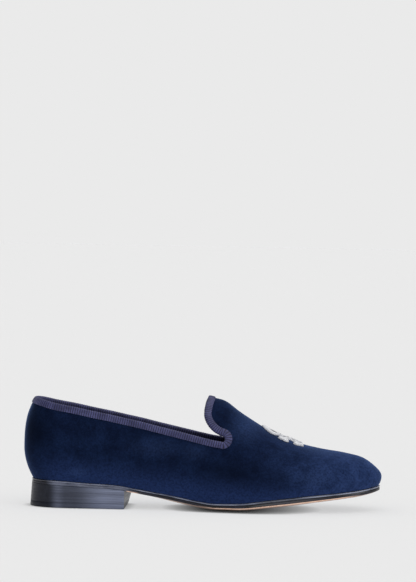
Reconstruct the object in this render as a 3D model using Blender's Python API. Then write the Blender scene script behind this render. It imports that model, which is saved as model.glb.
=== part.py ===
"""Velvet slipper loafer, right shoe, as an assembly of separate solids.

Metres, +Z up, toe along +X, lateral side towards -Y. The origin is on the floor
under the middle of the heel seat. Tables give a form as shares of the named sizes.
"""

import math

import bmesh
import bpy
import numpy as np

# Driving dimensions of the upper
UPPER_LENGTH = 0.297
BALL_WIDTH = 0.099
INSTEP_HEIGHT = 0.0915
BACK_HEIGHT = 0.0863
HEEL_AXIS = 0.036
TOE_AXIS = 0.205
RIDGE_OFFSET = 0.003
WALL = 0.0019
WALL_FOOT_SHARE = 1.1

# How far the upper's outer face stands inside the sole's edge at the feather line
FEATHER_STEP = 0.0008

# Driving dimensions of the opening, and where its round notch meets the collar line
# and the tab, in degrees
NOTCH_FRONT = 0.1685
NOTCH_HEIGHT = 0.0599
NOTCH_RADIUS = 0.0048
NOTCH_FROM = -78.0
NOTCH_TO = 96.0
COLLAR_END_BEHIND = 0.001

# The upper is first made a little too tall, and its edge is then cut to the collar line
SPARE_HEIGHT = 0.006
VAMP_START = NOTCH_FRONT - 0.0243

# Driving dimensions of the ribbed collar binding
BINDING_DEPTH = 0.0037
BINDING_THICKNESS = 0.0007
BINDING_ROOF = 0.0023
BINDING_GAP = 0.0004
BINDING_MIDDLE_SHARE = 0.45

# Driving dimensions of the sole and heel
SOLE_THICKNESS = 0.0052
SEAT_THICKNESS = 0.0036
HEEL_HEIGHT = 0.0190
TOE_SPRING = 0.0148
SOLE_CROWN = 0.0031
SOLE_FLAT_SHARE = 0.38
INSOLE_THICKNESS = 0.0025
TOP_PIECE_THICKNESS = 0.0044
LIFT_COUNT = 3
HEEL_BREAST = 0.0843
BREAST_LEAD_TOP = 0.0070
BREAST_LEAD_BOTTOM = 0.0020
HEEL_SIDE_TAPER = 0.0016
HEEL_BACK_FLARE = 0.0012

# Driving dimensions of the raised embroidery on the vamp
EMBROIDERY_THICKNESS = 0.0009
SKULL_AT = 0.2049
SKULL_LENGTH = 0.0175
SKULL_WIDTH = 0.0238
EYE_RADIUS = 0.0023
BONES_AT = 0.2208
BONE_REACH = 0.0150
BONE_SPREAD = 0.0062
BONE_RADIUS = 0.0017
KNUCKLE_RADIUS = 0.0027
KNUCKLE_SPREAD_SHARE = 0.8
SKULL_GRID_STEP = 0.0036
BONES_GRID_STEP = 0.0045

# Clearance between solids that touch on the real shoe
GAP = 0.0003

# Points nearer than this are one point
SAME_POINT = 0.00002

# Mesh steps
STEP_ALONG = 0.0074
HEEL_STEPS = 9
TOE_STEPS = 12
HEEL_STRAIGHT_STEPS = 5
LOWER_ROWS = 3
WALL_ROWS = 7
CROWN_ROWS = 6
COLLAR_HEEL_POINTS = 11
COLLAR_POINTS = 21
NOTCH_POINTS = 8
TAB_POINTS = 11

# Widest line seen from above: share of the upper's length, then half widths as
# shares of the ball width. The heel and toe are rounded off by a formula.
WIDEST_LINE = (
    ("along", "lateral", "medial"),
    (0.00, 0.318, 0.318),
    (0.12, 0.320, 0.318),
    (0.24, 0.330, 0.313),
    (0.34, 0.354, 0.320),
    (0.44, 0.408, 0.345),
    (0.54, 0.466, 0.398),
    (0.63, 0.508, 0.449),
    (0.70, 0.514, 0.478),
    (0.78, 0.512, 0.484),
    (1.00, 0.508, 0.480),
)

# Upright sections: height of the widest line and of the crown line as shares of
# the instep height, and how full the flank is.
SECTIONS = (
    ("along", "widest", "crown", "across", "flank"),
    (0.000, 0.540, 1.130, 2.00, 2.75),
    (0.055, 0.460, 1.230, 2.00, 2.40),
    (0.121, 0.370, 1.300, 2.00, 2.10),
    (0.236, 0.335, 1.230, 2.00, 1.90),
    (0.337, 0.295, 1.145, 2.00, 1.68),
    (0.438, 0.260, 1.052, 2.00, 1.48),
    (0.528, 0.240, 1.000, 2.00, 1.38),
    (0.560, 0.232, 0.972, 2.00, 1.38),
    (0.600, 0.226, 0.879, 2.00, 1.40),
    (0.645, 0.224, 0.785, 2.02, 1.48),
    (0.690, 0.228, 0.698, 2.06, 1.62),
    (0.740, 0.240, 0.631, 2.15, 1.85),
    (0.790, 0.256, 0.589, 2.25, 2.10),
    (0.840, 0.272, 0.569, 2.35, 2.30),
    (0.900, 0.290, 0.568, 2.40, 2.40),
    (0.960, 0.304, 0.560, 2.40, 2.40),
    (1.000, 0.312, 0.490, 2.40, 2.40),
)

# Sole edge: how far it lies inside the widest line, as shares of the ball width.
SOLE_INSET = (
    ("along", "lateral", "medial"),
    (0.00, 0.070, 0.070),
    (0.06, 0.050, 0.050),
    (0.12, 0.036, 0.037),
    (0.24, 0.034, 0.046),
    (0.34, 0.037, 0.070),
    (0.44, 0.034, 0.065),
    (0.54, 0.027, 0.040),
    (0.64, 0.022, 0.025),
    (0.75, 0.020, 0.020),
    (1.00, 0.012, 0.012),
)

# Middle of the sole's underside: behind the ball as shares of the heel height,
# ahead of it as shares of the toe spring, and flat on the floor between them.
UNDERSIDE_BACK = (
    ("along", "height"),
    (0.000, 1.010),
    (0.024, 1.005),
    (0.121, 0.962),
    (0.185, 0.902),
    (0.283, 0.797),
    (0.330, 0.645),
    (0.384, 0.443),
    (0.438, 0.252),
    (0.495, 0.078),
    (0.532, 0.000),
    (0.560, 0.000),
)
UNDERSIDE_FRONT = (
    ("along", "height"),
    (0.565, 0.000),
    (0.592, 0.000),
    (0.618, 0.022),
    (0.645, 0.078),
    (0.680, 0.163),
    (0.717, 0.245),
    (0.774, 0.380),
    (0.828, 0.510),
    (0.886, 0.645),
    (0.943, 0.790),
    (0.980, 0.920),
    (1.000, 1.000),
)

# Thickness of the sole's edge, as shares of the forepart's thickness, and how much
# of the crosswise roundness it has.
SOLE_EDGE = (
    ("along", "thickness", "roundness"),
    (0.30, 0.67, 0.00),
    (0.34, 0.66, 0.25),
    (0.40, 0.70, 0.72),
    (0.50, 0.72, 0.98),
    (0.56, 0.81, 1.00),
    (0.66, 1.00, 1.00),
    (0.78, 1.00, 1.00),
    (0.88, 0.84, 1.00),
    (1.00, 0.74, 1.00),
)

# Upper's edge along the quarters, as shares of the length and of the back height.
COLLAR_LINE = (
    ("along", "height"),
    (0.000, 1.033),
    (0.027, 1.023),
    (0.088, 0.975),
    (0.138, 0.945),
    (0.192, 0.907),
    (0.236, 0.879),
    (0.283, 0.845),
    (0.327, 0.814),
    (0.370, 0.779),
    (0.411, 0.747),
    (0.455, 0.712),
    (0.495, 0.680),
    (0.530, 0.655),
    (0.559, 0.640),
)

# Rear edge of the tab, from the notch up to the crown: share of the rise between
# them, and how far it lies behind the notch's front, as a share of the instep height.
TAB_EDGE = (
    ("rise", "back"),
    (0.15, 0.052),
    (0.20, 0.090),
    (0.31, 0.139),
    (0.43, 0.170),
    (0.58, 0.190),
    (0.76, 0.183),
    (0.90, 0.171),
    (1.00, 0.155),
)

# Roundness of the outline's ends seen from above
HEEL_ROUND = 2.15
TOE_ROUND = 1.95
ROUND_FROM = {"lateral": 0.62, "medial": 0.70}

SIDES = {"lateral": -1.0, "medial": 1.0}


def column(table, name):
    """One named column of a table as an array."""
    index = table[0].index(name)
    return np.array([row[index] for row in table[1:]])


def smooth(table, key, name, at):
    """Smooth curve through a column of a table, flat beyond its ends."""
    keys = column(table, key)
    values = column(table, name)
    at = np.clip(np.asarray(at, dtype=float), keys[0], keys[-1])
    slopes = np.gradient(values, keys)
    cell = np.clip(np.searchsorted(keys, at, side="right") - 1, 0, len(keys) - 2)
    width = keys[cell + 1] - keys[cell]
    t = (at - keys[cell]) / width
    rest = 1.0 - t
    return (
        values[cell] * rest * rest * (1.0 + 2.0 * t)
        + values[cell + 1] * t * t * (3.0 - 2.0 * t)
        + slopes[cell] * width * t * rest * rest
        - slopes[cell + 1] * width * t * t * rest
    )


def half_width(side, x):
    """Half width of the widest line at a distance x from the heel's back."""
    share = np.clip(x / UPPER_LENGTH, 0.0, 1.0)
    width = smooth(WIDEST_LINE, "along", side, share) * BALL_WIDTH
    back = np.clip(1.0 - x / HEEL_AXIS, 0.0, 1.0)
    start = ROUND_FROM[side]
    front = np.clip((share - start) / (1.0 - start), 0.0, 1.0)
    heel = (1.0 - back ** HEEL_ROUND) ** (1.0 / HEEL_ROUND)
    toe = (1.0 - front ** TOE_ROUND) ** (1.0 / TOE_ROUND)
    return width * heel * toe


def station_x(s):
    """Where a station's outline point lies: evenly spread round heel and toe."""
    heel = HEEL_AXIS * (1.0 - np.cos(0.5 * math.pi * np.clip(s / HEEL_AXIS, 0.0, 1.0)))
    span = UPPER_LENGTH - TOE_AXIS
    toe = TOE_AXIS + span * np.sin(0.5 * math.pi * np.clip((s - TOE_AXIS) / span, 0.0, 1.0))
    return np.where(s < HEEL_AXIS, heel, np.where(s > TOE_AXIS, toe, s))


def ridge_y(x):
    """Sideways place of the vamp's ridge, which leans to the medial side."""
    rise = np.clip((x / UPPER_LENGTH - 0.20) / 0.35, 0.0, 1.0)
    return RIDGE_OFFSET * rise * rise * (3.0 - 2.0 * rise)


def spokes(side, s, centred=False):
    """Outline point and centre of each station's upright section."""
    px = station_x(s)
    py = SIDES[side] * half_width(side, px)
    cx = np.clip(px, HEEL_AXIS, TOE_AXIS)
    cy = np.zeros_like(cx) if centred else ridge_y(cx)
    return px, py, cx, cy


def underside(x):
    """Height of the middle of the sole's underside."""
    share = np.asarray(x, dtype=float) / UPPER_LENGTH
    back = smooth(UNDERSIDE_BACK, "along", "height", share) * HEEL_HEIGHT
    front = smooth(UNDERSIDE_FRONT, "along", "height", share) * TOE_SPRING
    return np.maximum(back, 0.0) + np.maximum(front, 0.0)


def edge_thickness(x):
    """Thickness of the sole along its edge, which eases into the seat's."""
    share = x / UPPER_LENGTH
    fore = smooth(SOLE_EDGE, "along", "thickness", share) * SOLE_THICKNESS
    blend = np.clip((share - 0.28) / 0.06, 0.0, 1.0)
    return SEAT_THICKNESS + (fore - SEAT_THICKNESS) * blend


def crosswise(x, out):
    """Rise of the sole from its flat middle to its edge; out runs from 0 to 1."""
    amount = smooth(SOLE_EDGE, "along", "roundness", x / UPPER_LENGTH)
    reach = np.clip((out - SOLE_FLAT_SHARE) / (1.0 - SOLE_FLAT_SHARE), 0.0, 1.0)
    return SOLE_CROWN * amount * reach * reach * (1.6 - 0.6 * reach)


def sole_bottom(x, out):
    return underside(x) + crosswise(x, out)


def sole_top(x, out):
    return sole_bottom(x, out) + edge_thickness(x)


def inset_share(side, px):
    return smooth(SOLE_INSET, "along", side, px / UPPER_LENGTH) * BALL_WIDTH


def outline_point(side, s, inset, centred=True):
    """Point of the outline moved towards its centre by the sole's inset and more."""
    px, py, cx, cy = spokes(side, s, centred)
    reach = np.hypot(px - cx, py - cy)
    keep = 1.0 - (inset_share(side, px) + inset) / reach
    return cx + (px - cx) * keep, cy + (py - cy) * keep


def section_values(px):
    share = px / UPPER_LENGTH
    widest = smooth(SECTIONS, "along", "widest", share) * INSTEP_HEIGHT
    across = smooth(SECTIONS, "along", "across", share)
    flank = smooth(SECTIONS, "along", "flank", share)
    return widest, across, flank


def crown_height(x):
    return smooth(SECTIONS, "along", "crown", x / UPPER_LENGTH) * INSTEP_HEIGHT


def flank_point(side, s, angle):
    """Upper's outer face above its widest line; angle runs from 0 to a right angle."""
    px, py, cx, cy = spokes(side, s)
    widest, across, flank = section_values(px)
    out = np.cos(angle) ** (2.0 / across)
    up = np.sin(angle) ** (2.0 / flank)
    x = cx + (px - cx) * out
    in_heel = px < HEEL_AXIS
    crown = crown_height(np.where(in_heel, px, x))
    return np.stack([x, cy + (py - cy) * out, widest + (crown - widest) * up], axis=-1)


def lower_point(side, s, t):
    """Upper's outer face from the feather line, t = 0, to the widest line, t = 1."""
    px, py, cx, cy = spokes(side, s)
    widest, _, _ = section_values(px)
    feather = sole_top(px, np.ones_like(px)) + GAP
    inset = (inset_share(side, px) + FEATHER_STEP) * (1.0 - t) ** 2
    reach = np.hypot(px - cx, py - cy)
    keep = 1.0 - inset / reach
    z = feather + (widest - feather) * t
    return np.stack([cx + (px - cx) * keep, cy + (py - cy) * keep, z], axis=-1)


def outer_point(side, s, v):
    """Upper's outer face: v from 0 to 1 below the widest line, 1 to 2 above it."""
    s = np.asarray(s, dtype=float)
    v = np.asarray(v, dtype=float)
    low = lower_point(side, s, np.clip(v, 0.0, 1.0))
    high = flank_point(side, s, np.clip(v - 1.0, 0.0, 1.0) * 0.5 * math.pi)
    return np.where((v <= 1.0)[..., None], low, high)


def outward(side, s, v):
    """Unit normal of the outer face, from small steps along and up it."""
    small = 0.00002
    s_low = np.clip(s - small, 0.0, UPPER_LENGTH)
    s_high = np.clip(s + small, 0.0, UPPER_LENGTH)
    v_low = np.clip(v - 0.001, 0.0, 2.0)
    v_high = np.clip(v + 0.001, 0.0, 2.0)
    along = outer_point(side, s_high, v) - outer_point(side, s_low, v)
    up = outer_point(side, s, v_high) - outer_point(side, s, v_low)
    normal = np.cross(along, up) * -SIDES[side]
    crown = v >= 1.999
    x = outer_point(side, s, v)[..., 0]
    slope = (crown_height(x + small) - crown_height(x - small)) / (2.0 * small)
    on_crown = np.stack([-slope, np.zeros_like(slope), np.ones_like(slope)], axis=-1)
    normal = np.where(crown[..., None], on_crown, normal)
    return normal / np.linalg.norm(normal, axis=-1, keepdims=True)


def inner_point(side, s, v, depth=None):
    """Upper's inner face, a wall's thickness in from the outer one."""
    depth = WALL if depth is None else depth
    point = outer_point(side, s, v)
    normal = outward(side, s, v)
    inner = point - normal * depth
    foot = v <= 0.0
    level = np.stack([normal[..., 0], normal[..., 1], np.zeros_like(v)], axis=-1)
    level = level / np.linalg.norm(level, axis=-1, keepdims=True)
    return np.where(foot[..., None], point - level * depth * WALL_FOOT_SHARE, inner)


def collar_height(x):
    return smooth(COLLAR_LINE, "along", "height", x / UPPER_LENGTH) * BACK_HEIGHT


def tab_x(z):
    """Rear edge of the tab at a height, behind the notch's front."""
    rise = (z - NOTCH_HEIGHT) / (INSTEP_HEIGHT - NOTCH_HEIGHT)
    return NOTCH_FRONT - smooth(TAB_EDGE, "rise", "back", rise) * INSTEP_HEIGHT


def level_at(side, s, z):
    """Value of v where the outer face reaches a height above the widest line."""
    s = np.asarray(s, dtype=float)
    px = station_x(s)
    widest, _, flank = section_values(px)
    v = np.full_like(px, 1.5)
    for _ in range(6):
        x = outer_point(side, s, v)[..., 0]
        crown = crown_height(np.where(px < HEEL_AXIS, px, x))
        up = np.clip((z(x) - widest) / (crown - widest), 0.0, 1.0)
        v = 1.0 + np.arcsin(up ** (0.5 * flank)) / (0.5 * math.pi)
    return v


def edge_curve(side):
    """Upper's edge on one side as (s, v) pairs, from the heel's back to the crown."""
    notch_x = NOTCH_FRONT - NOTCH_RADIUS
    collar_s = np.concatenate([
        np.linspace(0.0, HEEL_AXIS, COLLAR_HEEL_POINTS)[:-1],
        np.linspace(HEEL_AXIS, notch_x - COLLAR_END_BEHIND, COLLAR_POINTS),
    ])
    collar_v = level_at(side, collar_s, collar_height)
    pairs = list(zip(collar_s, collar_v))
    turns = np.radians(np.linspace(NOTCH_FROM, NOTCH_TO, NOTCH_POINTS))
    for turn in turns:
        x = notch_x + NOTCH_RADIUS * math.cos(turn)
        z = NOTCH_HEIGHT + NOTCH_RADIUS * math.sin(turn)
        pairs.append((x, float(level_at(side, np.array(x), lambda at, z=z: z))))
    for v in np.linspace(pairs[-1][1], 2.0, TAB_POINTS)[1:]:
        x = notch_x
        for _ in range(20):
            x = float(tab_x(outer_point(side, np.array(x), np.array(v))[2]))
        pairs.append((x, v))
    return pairs


def place(points):
    """Points measured from the heel's back, moved so that the heel axis is the origin."""
    moved = np.array(points, dtype=float)
    moved[..., 0] -= HEEL_AXIS
    return moved


class Builder:
    """Collects faces from points, with equal points shared."""

    def __init__(self):
        self.mesh = bmesh.new()
        self.known = {}

    def vertex(self, point):
        key = tuple(float(value) for value in point)
        if key not in self.known:
            self.known[key] = self.mesh.verts.new(key)
        return self.known[key]

    def face(self, points):
        corners = []
        for point in points:
            vertex = self.vertex(point)
            if vertex not in corners:
                corners.append(vertex)
        if len(corners) > 2 and self.mesh.faces.get(corners) is None:
            self.mesh.faces.new(corners)

    def strip(self, first, second):
        for i in range(len(first) - 1):
            self.face([first[i], first[i + 1], second[i + 1], second[i]])

    def object(self, name, material, sharp_angle=35.0):
        bmesh.ops.remove_doubles(self.mesh, verts=self.mesh.verts, dist=SAME_POINT)
        bmesh.ops.recalc_face_normals(self.mesh, faces=self.mesh.faces)
        bmesh.ops.triangulate(self.mesh, faces=self.mesh.faces)
        data = bpy.data.meshes.new(name)
        self.mesh.to_mesh(data)
        self.mesh.free()
        data.shade_smooth()
        data.set_sharp_from_angle(angle=math.radians(sharp_angle))
        data.materials.append(material)
        made = bpy.data.objects.new(name, data)
        bpy.context.scene.collection.objects.link(made)
        return made


def material(name, colour, roughness, metallic=0.0):
    made = bpy.data.materials.new(name)
    made.use_nodes = True
    shader = made.node_tree.nodes["Principled BSDF"]
    shader.inputs["Base Color"].default_value = (*colour, 1.0)
    shader.inputs["Roughness"].default_value = roughness
    shader.inputs["Metallic"].default_value = metallic
    return made


def station_loop(last=UPPER_LENGTH, heel_steps=HEEL_STEPS, toe_steps=TOE_STEPS, step=STEP_ALONG):
    """Stations along one side, from the heel's back to the toe or to a given place."""
    heel = np.linspace(0.0, HEEL_AXIS, heel_steps + 1)
    if last < TOE_AXIS:
        count = max(2, round((last - HEEL_AXIS) / step))
        return np.concatenate([heel, np.linspace(HEEL_AXIS, last, count + 1)[1:]])
    count = round((TOE_AXIS - HEEL_AXIS) / step)
    middle = np.linspace(HEEL_AXIS, TOE_AXIS, count + 1)[1:]
    toe = np.linspace(TOE_AXIS, UPPER_LENGTH, toe_steps + 1)[1:]
    return np.concatenate([heel, middle, toe])


def upper_rows(side):
    """Rows of v for each station: up to just over the collar, then on to the crown."""
    stations = station_loop()
    stations[np.argmin(np.abs(stations - VAMP_START))] = VAMP_START
    top = level_at(side, stations, lambda x: collar_height(x) + SPARE_HEIGHT)
    low = np.linspace(0.0, 1.0, LOWER_ROWS + 1)[:-1]
    wall = [low_v * np.ones_like(stations) for low_v in low]
    for k in range(WALL_ROWS + 1):
        wall.append(1.0 + (top - 1.0) * (k / WALL_ROWS))
    crown = [top + (2.0 - top) * (k / CROWN_ROWS) for k in range(CROWN_ROWS + 1)]
    return stations, wall, crown


def build_upper(velvet):
    builder = Builder()
    for side in SIDES:
        stations, wall, crown = upper_rows(side)
        first = int(np.argmin(np.abs(stations - VAMP_START)))
        skins = {}
        for name, skin in (("outer", outer_point), ("inner", inner_point)):
            rows = [place(skin(side, stations, v)) for v in wall]
            for below, above in zip(rows, rows[1:]):
                builder.strip(below, above)
            tops = [place(skin(side, stations, v))[first:] for v in crown]
            for below, above in zip(tops, tops[1:]):
                builder.strip(below, above)
            skins[name] = (rows, tops)
        outer_rows, outer_tops = skins["outer"]
        inner_rows, inner_tops = skins["inner"]
        builder.strip(outer_rows[0], inner_rows[0])
        builder.strip(outer_rows[-1][:first + 1], inner_rows[-1][:first + 1])
        builder.strip([row[0] for row in outer_tops], [row[0] for row in inner_tops])
    upper = builder.object("upper", velvet)
    cut = upper.modifiers.new("collar opening", "BOOLEAN")
    cut.operation = "DIFFERENCE"
    cut.object = collar_cutter()
    return upper


def collar_cutter():
    """Prism through both sides, whose underside is the upper's edge seen from the side."""
    edge = [outer_point("lateral", np.array(s), np.array(v)) for s, v in edge_curve("lateral")]
    line = [(point[0], point[2]) for point in edge]
    high = 1.6 * INSTEP_HEIGHT
    behind = -0.5 * HEEL_AXIS
    line = [(behind, collar_height(0.0))] + line
    line += [(line[-1][0], high), (behind, high)]
    mesh = bmesh.new()
    near = [mesh.verts.new((x - HEEL_AXIS, -BALL_WIDTH, z)) for x, z in line]
    far = [mesh.verts.new((x - HEEL_AXIS, BALL_WIDTH, z)) for x, z in line]
    mesh.faces.new(near)
    mesh.faces.new(far[::-1])
    for i in range(len(line)):
        j = (i + 1) % len(line)
        mesh.faces.new([near[j], near[i], far[i], far[j]])
    bmesh.ops.recalc_face_normals(mesh, faces=mesh.faces)
    data = bpy.data.meshes.new("collar cutter")
    mesh.to_mesh(data)
    mesh.free()
    cutter = bpy.data.objects.new("collar cutter", data)
    cutter.hide_render = True
    cutter.display_type = "WIRE"
    bpy.context.scene.collection.objects.link(cutter)
    return cutter


def walk(side, s, v, direction, distance):
    """Moves over the outer face from (s, v) by a distance along a direction in space."""
    small_s = 0.00002
    small_v = 0.0005
    pace = distance / 4
    for _ in range(4):
        s_low, s_high = s - small_s, s + small_s
        v_low, v_high = v - small_v, min(v + small_v, 2.0)
        along = (outer_point(side, np.array(s_high), np.array(v))
                 - outer_point(side, np.array(s_low), np.array(v))) / (s_high - s_low)
        up = (outer_point(side, np.array(s), np.array(v_high))
              - outer_point(side, np.array(s), np.array(v_low))) / (v_high - v_low)
        basis = np.stack([along, up], axis=1)
        steps, *_ = np.linalg.lstsq(basis, direction * pace, rcond=None)
        s = s + steps[0]
        v = min(v + steps[1], 2.0)
    return s, v


def binding_sections(side):
    """Closed cross-sections of the folded binding along one side's edge."""
    pairs = edge_curve(side)
    points = [outer_point(side, np.array(s), np.array(v)) for s, v in pairs]
    sections = []
    for i, (s, v) in enumerate(pairs):
        before = points[max(i - 1, 0)]
        after = points[min(i + 1, len(points) - 1)]
        tangent = after - before
        if i == 0:
            tangent = np.array([0.0, tangent[1], 0.0])
        if i == len(pairs) - 1:
            tangent = np.array([0.0, tangent[1], 0.0])
        normal = outward(side, np.array(s), np.array(v))
        inward = np.cross(tangent, normal) * -SIDES[side]
        inward /= np.linalg.norm(inward)
        top = points[i]
        out_near, out_far = BINDING_GAP, BINDING_GAP + BINDING_THICKNESS
        in_near, in_far = WALL + BINDING_GAP, WALL + BINDING_GAP + BINDING_THICKNESS
        roof_low = BINDING_ROOF - BINDING_THICKNESS
        faces_out = []
        faces_in = []
        for share in (1.0, BINDING_MIDDLE_SHARE):
            s_down, v_down = walk(side, s, v, inward, BINDING_DEPTH * share)
            s_arr, v_arr = np.array(s_down), np.array(v_down)
            skin = outer_point(side, s_arr, v_arr)
            face = outward(side, s_arr, v_arr)
            faces_out.append((skin + face * out_near, skin + face * out_far))
            faces_in.append((skin - face * in_near, skin - face * in_far))
        corner = BINDING_THICKNESS
        section = [faces_out[0][1], faces_out[1][1]]
        section.append(top - inward * (BINDING_ROOF - corner) + normal * out_far)
        section.append(top - inward * BINDING_ROOF + normal * (out_far - corner))
        section.append(top - inward * BINDING_ROOF - normal * (in_far - corner))
        section.append(top - inward * (BINDING_ROOF - corner) - normal * in_far)
        section += [faces_in[1][1], faces_in[0][1], faces_in[0][0], faces_in[1][0]]
        section.append(top - inward * roof_low - normal * in_near)
        section.append(top - inward * roof_low + normal * out_near)
        section += [faces_out[1][0], faces_out[0][0]]
        sections.append(place(section))
    return sections


def build_binding(ribbed):
    """Ribbed band folded over the whole edge of the upper."""
    builder = Builder()
    lateral = binding_sections("lateral")
    medial = binding_sections("medial")
    ring = lateral + medial[::-1][1:-1]
    for i in range(len(ring)):
        first = ring[i]
        second = ring[(i + 1) % len(ring)]
        builder.strip(np.vstack([first, first[:1]]), np.vstack([second, second[:1]]))
    return builder.object("collar_binding", ribbed, 50.0)


def slab_point(side, stations, out, inset, height):
    """Points of a sole-shaped slab at a share of the way out to its edge."""
    edge_x, edge_y = outline_point(side, stations, inset)
    cx = np.clip(station_x(stations), HEEL_AXIS, TOE_AXIS)
    x = cx + (edge_x - cx) * out
    y = edge_y * out
    return np.stack([x, y, height(x, np.full_like(x, out))], axis=-1)


def build_slab(name, finish, inset, bottom, top, rings):
    """Full-length slab between two heights, in the sole's outline moved in by an inset."""
    builder = Builder()
    stations = station_loop(toe_steps=10)
    for side in SIDES:
        rims = []
        for height in (bottom, top):
            rows = [place(slab_point(side, stations, out, inset, height)) for out in rings]
            for outside, inside in zip(rows, rows[1:]):
                builder.strip(outside, inside)
            rims.append(rows[0])
        builder.strip(rims[0], rims[1])
    return builder.object(name, finish, 40.0)


def heel_inset(stations, height):
    """How far the heel's side lies inside the sole's edge at a height."""
    down = 1.0 - height / HEEL_HEIGHT
    turn = 0.5 * math.pi * np.clip(stations / HEEL_AXIS, 0.0, 1.0)
    return down * (HEEL_SIDE_TAPER * np.sin(turn) - HEEL_BACK_FLARE * np.cos(turn))


def breast_lead(height):
    """How far the breast's medial corner leads the lateral one at a height."""
    return BREAST_LEAD_BOTTOM + (BREAST_LEAD_TOP - BREAST_LEAD_BOTTOM) * height / HEEL_HEIGHT


def heel_rows(level):
    """Lateral edge, middle line and medial edge of the heel on a level."""
    medial_breast = HEEL_BREAST + breast_lead(float(level(np.array(HEEL_BREAST))))
    edges = {}
    for side, last in (("lateral", HEEL_BREAST), ("medial", medial_breast)):
        heel = np.linspace(0.0, HEEL_AXIS, HEEL_STEPS + 1)
        straight = np.linspace(HEEL_AXIS, last, HEEL_STRAIGHT_STEPS + 1)[1:]
        stations = np.concatenate([heel, straight])
        px = station_x(stations)
        x, y = outline_point(side, stations, heel_inset(stations, level(px)))
        edges[side] = place(np.stack([x, y, level(px)], axis=-1))
    middle = 0.5 * (edges["lateral"] + edges["medial"])
    middle[:HEEL_STEPS + 1, 0] = 0.0
    middle[:, 1] = 0.0
    middle[:, 2] = level(middle[:, 0] + HEEL_AXIS)
    return edges["lateral"], middle, edges["medial"]


def build_lift(name, finish, bottom, top):
    """One layer of the heel between two levels."""
    builder = Builder()
    low = heel_rows(bottom)
    high = heel_rows(top)
    for near, middle, far in (low, high):
        builder.strip(near, middle)
        builder.strip(middle, far)
    builder.strip(low[0], high[0])
    builder.strip(low[2], high[2])
    builder.strip([row[-1] for row in low], [row[-1] for row in high])
    return builder.object(name, finish, 40.0)


def heel_level(share):
    """Level in the heel: 0 is the top piece's upper side, 1 is the sole's underside."""
    def level(x):
        return TOP_PIECE_THICKNESS + (underside(x) - TOP_PIECE_THICKNESS) * share
    return level


def raised(level, amount):
    return lambda x: level(x) + amount


def floor_level(x):
    return np.zeros_like(np.asarray(x, dtype=float))


def build_heel(leather, rubber):
    build_lift("heel_top_piece", rubber, floor_level, raised(heel_level(0.0), -GAP))
    for k in range(LIFT_COUNT):
        low = heel_level(k / LIFT_COUNT)
        high = raised(heel_level((k + 1) / LIFT_COUNT), -GAP)
        build_lift(f"heel_lift_{k + 1}", leather, low, high)


def toe_station(side, x, y):
    """Station whose section passes through a point of the vamp ahead of the toe axis."""
    stations = np.linspace(TOE_AXIS, UPPER_LENGTH, 200)
    px, py, cx, cy = spokes(side, stations)
    turns = np.arctan2(SIDES[side] * (py - cy), px - cx)
    turn = np.arctan2(SIDES[side] * (y - cy[0]), x - TOE_AXIS)
    return np.interp(turn, turns[::-1], stations[::-1])


def vamp_height(x, y):
    """Height of the upper's outer face over a point near the ridge of the vamp."""
    height = np.zeros_like(x)
    for side, sign in SIDES.items():
        s = np.where(x > TOE_AXIS, toe_station(side, x, y), x)
        px, py, cx, cy = spokes(side, s)
        out = np.hypot(x - cx, y - cy) / np.hypot(px - cx, py - cy)
        widest, across, flank = section_values(px)
        up = (1.0 - np.clip(out, 0.0, 1.0) ** across) ** (1.0 / flank)
        here = widest + (crown_height(x) - widest) * up
        height = np.where(sign * (y - cy) >= 0.0, here, height)
    return height


def vamp_normal(x, y):
    small = 0.0002
    dx = (vamp_height(x + small, y) - vamp_height(x - small, y)) / (2.0 * small)
    dy = (vamp_height(x, y + small) - vamp_height(x, y - small)) / (2.0 * small)
    normal = np.stack([-dx, -dy, np.ones_like(dx)], axis=-1)
    return normal / np.linalg.norm(normal, axis=-1, keepdims=True)


def skull_radius(turn):
    """Skull outline about its centre: a round cranium, narrowing to a square jaw.

    turn is 0 towards the toe, where the jaw is.
    """
    cranium = 0.5 * SKULL_WIDTH * (1.0 - 0.14 * max(0.0, math.cos(turn)))
    jaw_half = 0.31 * SKULL_WIDTH
    jaw_end = 0.55 * SKULL_LENGTH
    to_end = jaw_end / max(math.cos(turn), 1e-6)
    to_side = jaw_half / max(abs(math.sin(turn)), 1e-6)
    back = SKULL_LENGTH - jaw_end
    cap = math.hypot(0.5 * SKULL_WIDTH * math.sin(turn), back * math.cos(turn))
    if math.cos(turn) <= 0.0:
        return cap
    jaw = min(to_end, to_side)
    return max(jaw, cranium * (1.0 - 0.55 * math.cos(turn) ** 2))


def bones_radius(turn):
    """Outline of two crossed bones about their crossing, with two knuckles at each end."""
    ray = np.array([math.cos(turn), math.sin(turn)])
    reach = BONE_RADIUS
    for sx in (-1, 1):
        for sy in (-1, 1):
            end = np.array([sx * BONE_SPREAD, sy * BONE_REACH])
            along = end / np.linalg.norm(end)
            across = np.array([-along[1], along[0]])
            if ray @ along > 0.0:
                to_flank = BONE_RADIUS / max(abs(ray @ across), 1e-6)
                to_end = np.linalg.norm(end) / (ray @ along)
                reach = max(reach, min(to_flank, to_end))
            for turned in (-1, 1):
                centre = end + across * turned * KNUCKLE_SPREAD_SHARE * KNUCKLE_RADIUS
                middle = ray @ centre
                miss = centre @ centre - middle * middle
                if middle > 0.0 and miss < KNUCKLE_RADIUS ** 2:
                    reach = max(reach, middle + math.sqrt(KNUCKLE_RADIUS ** 2 - miss))
    return reach


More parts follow.
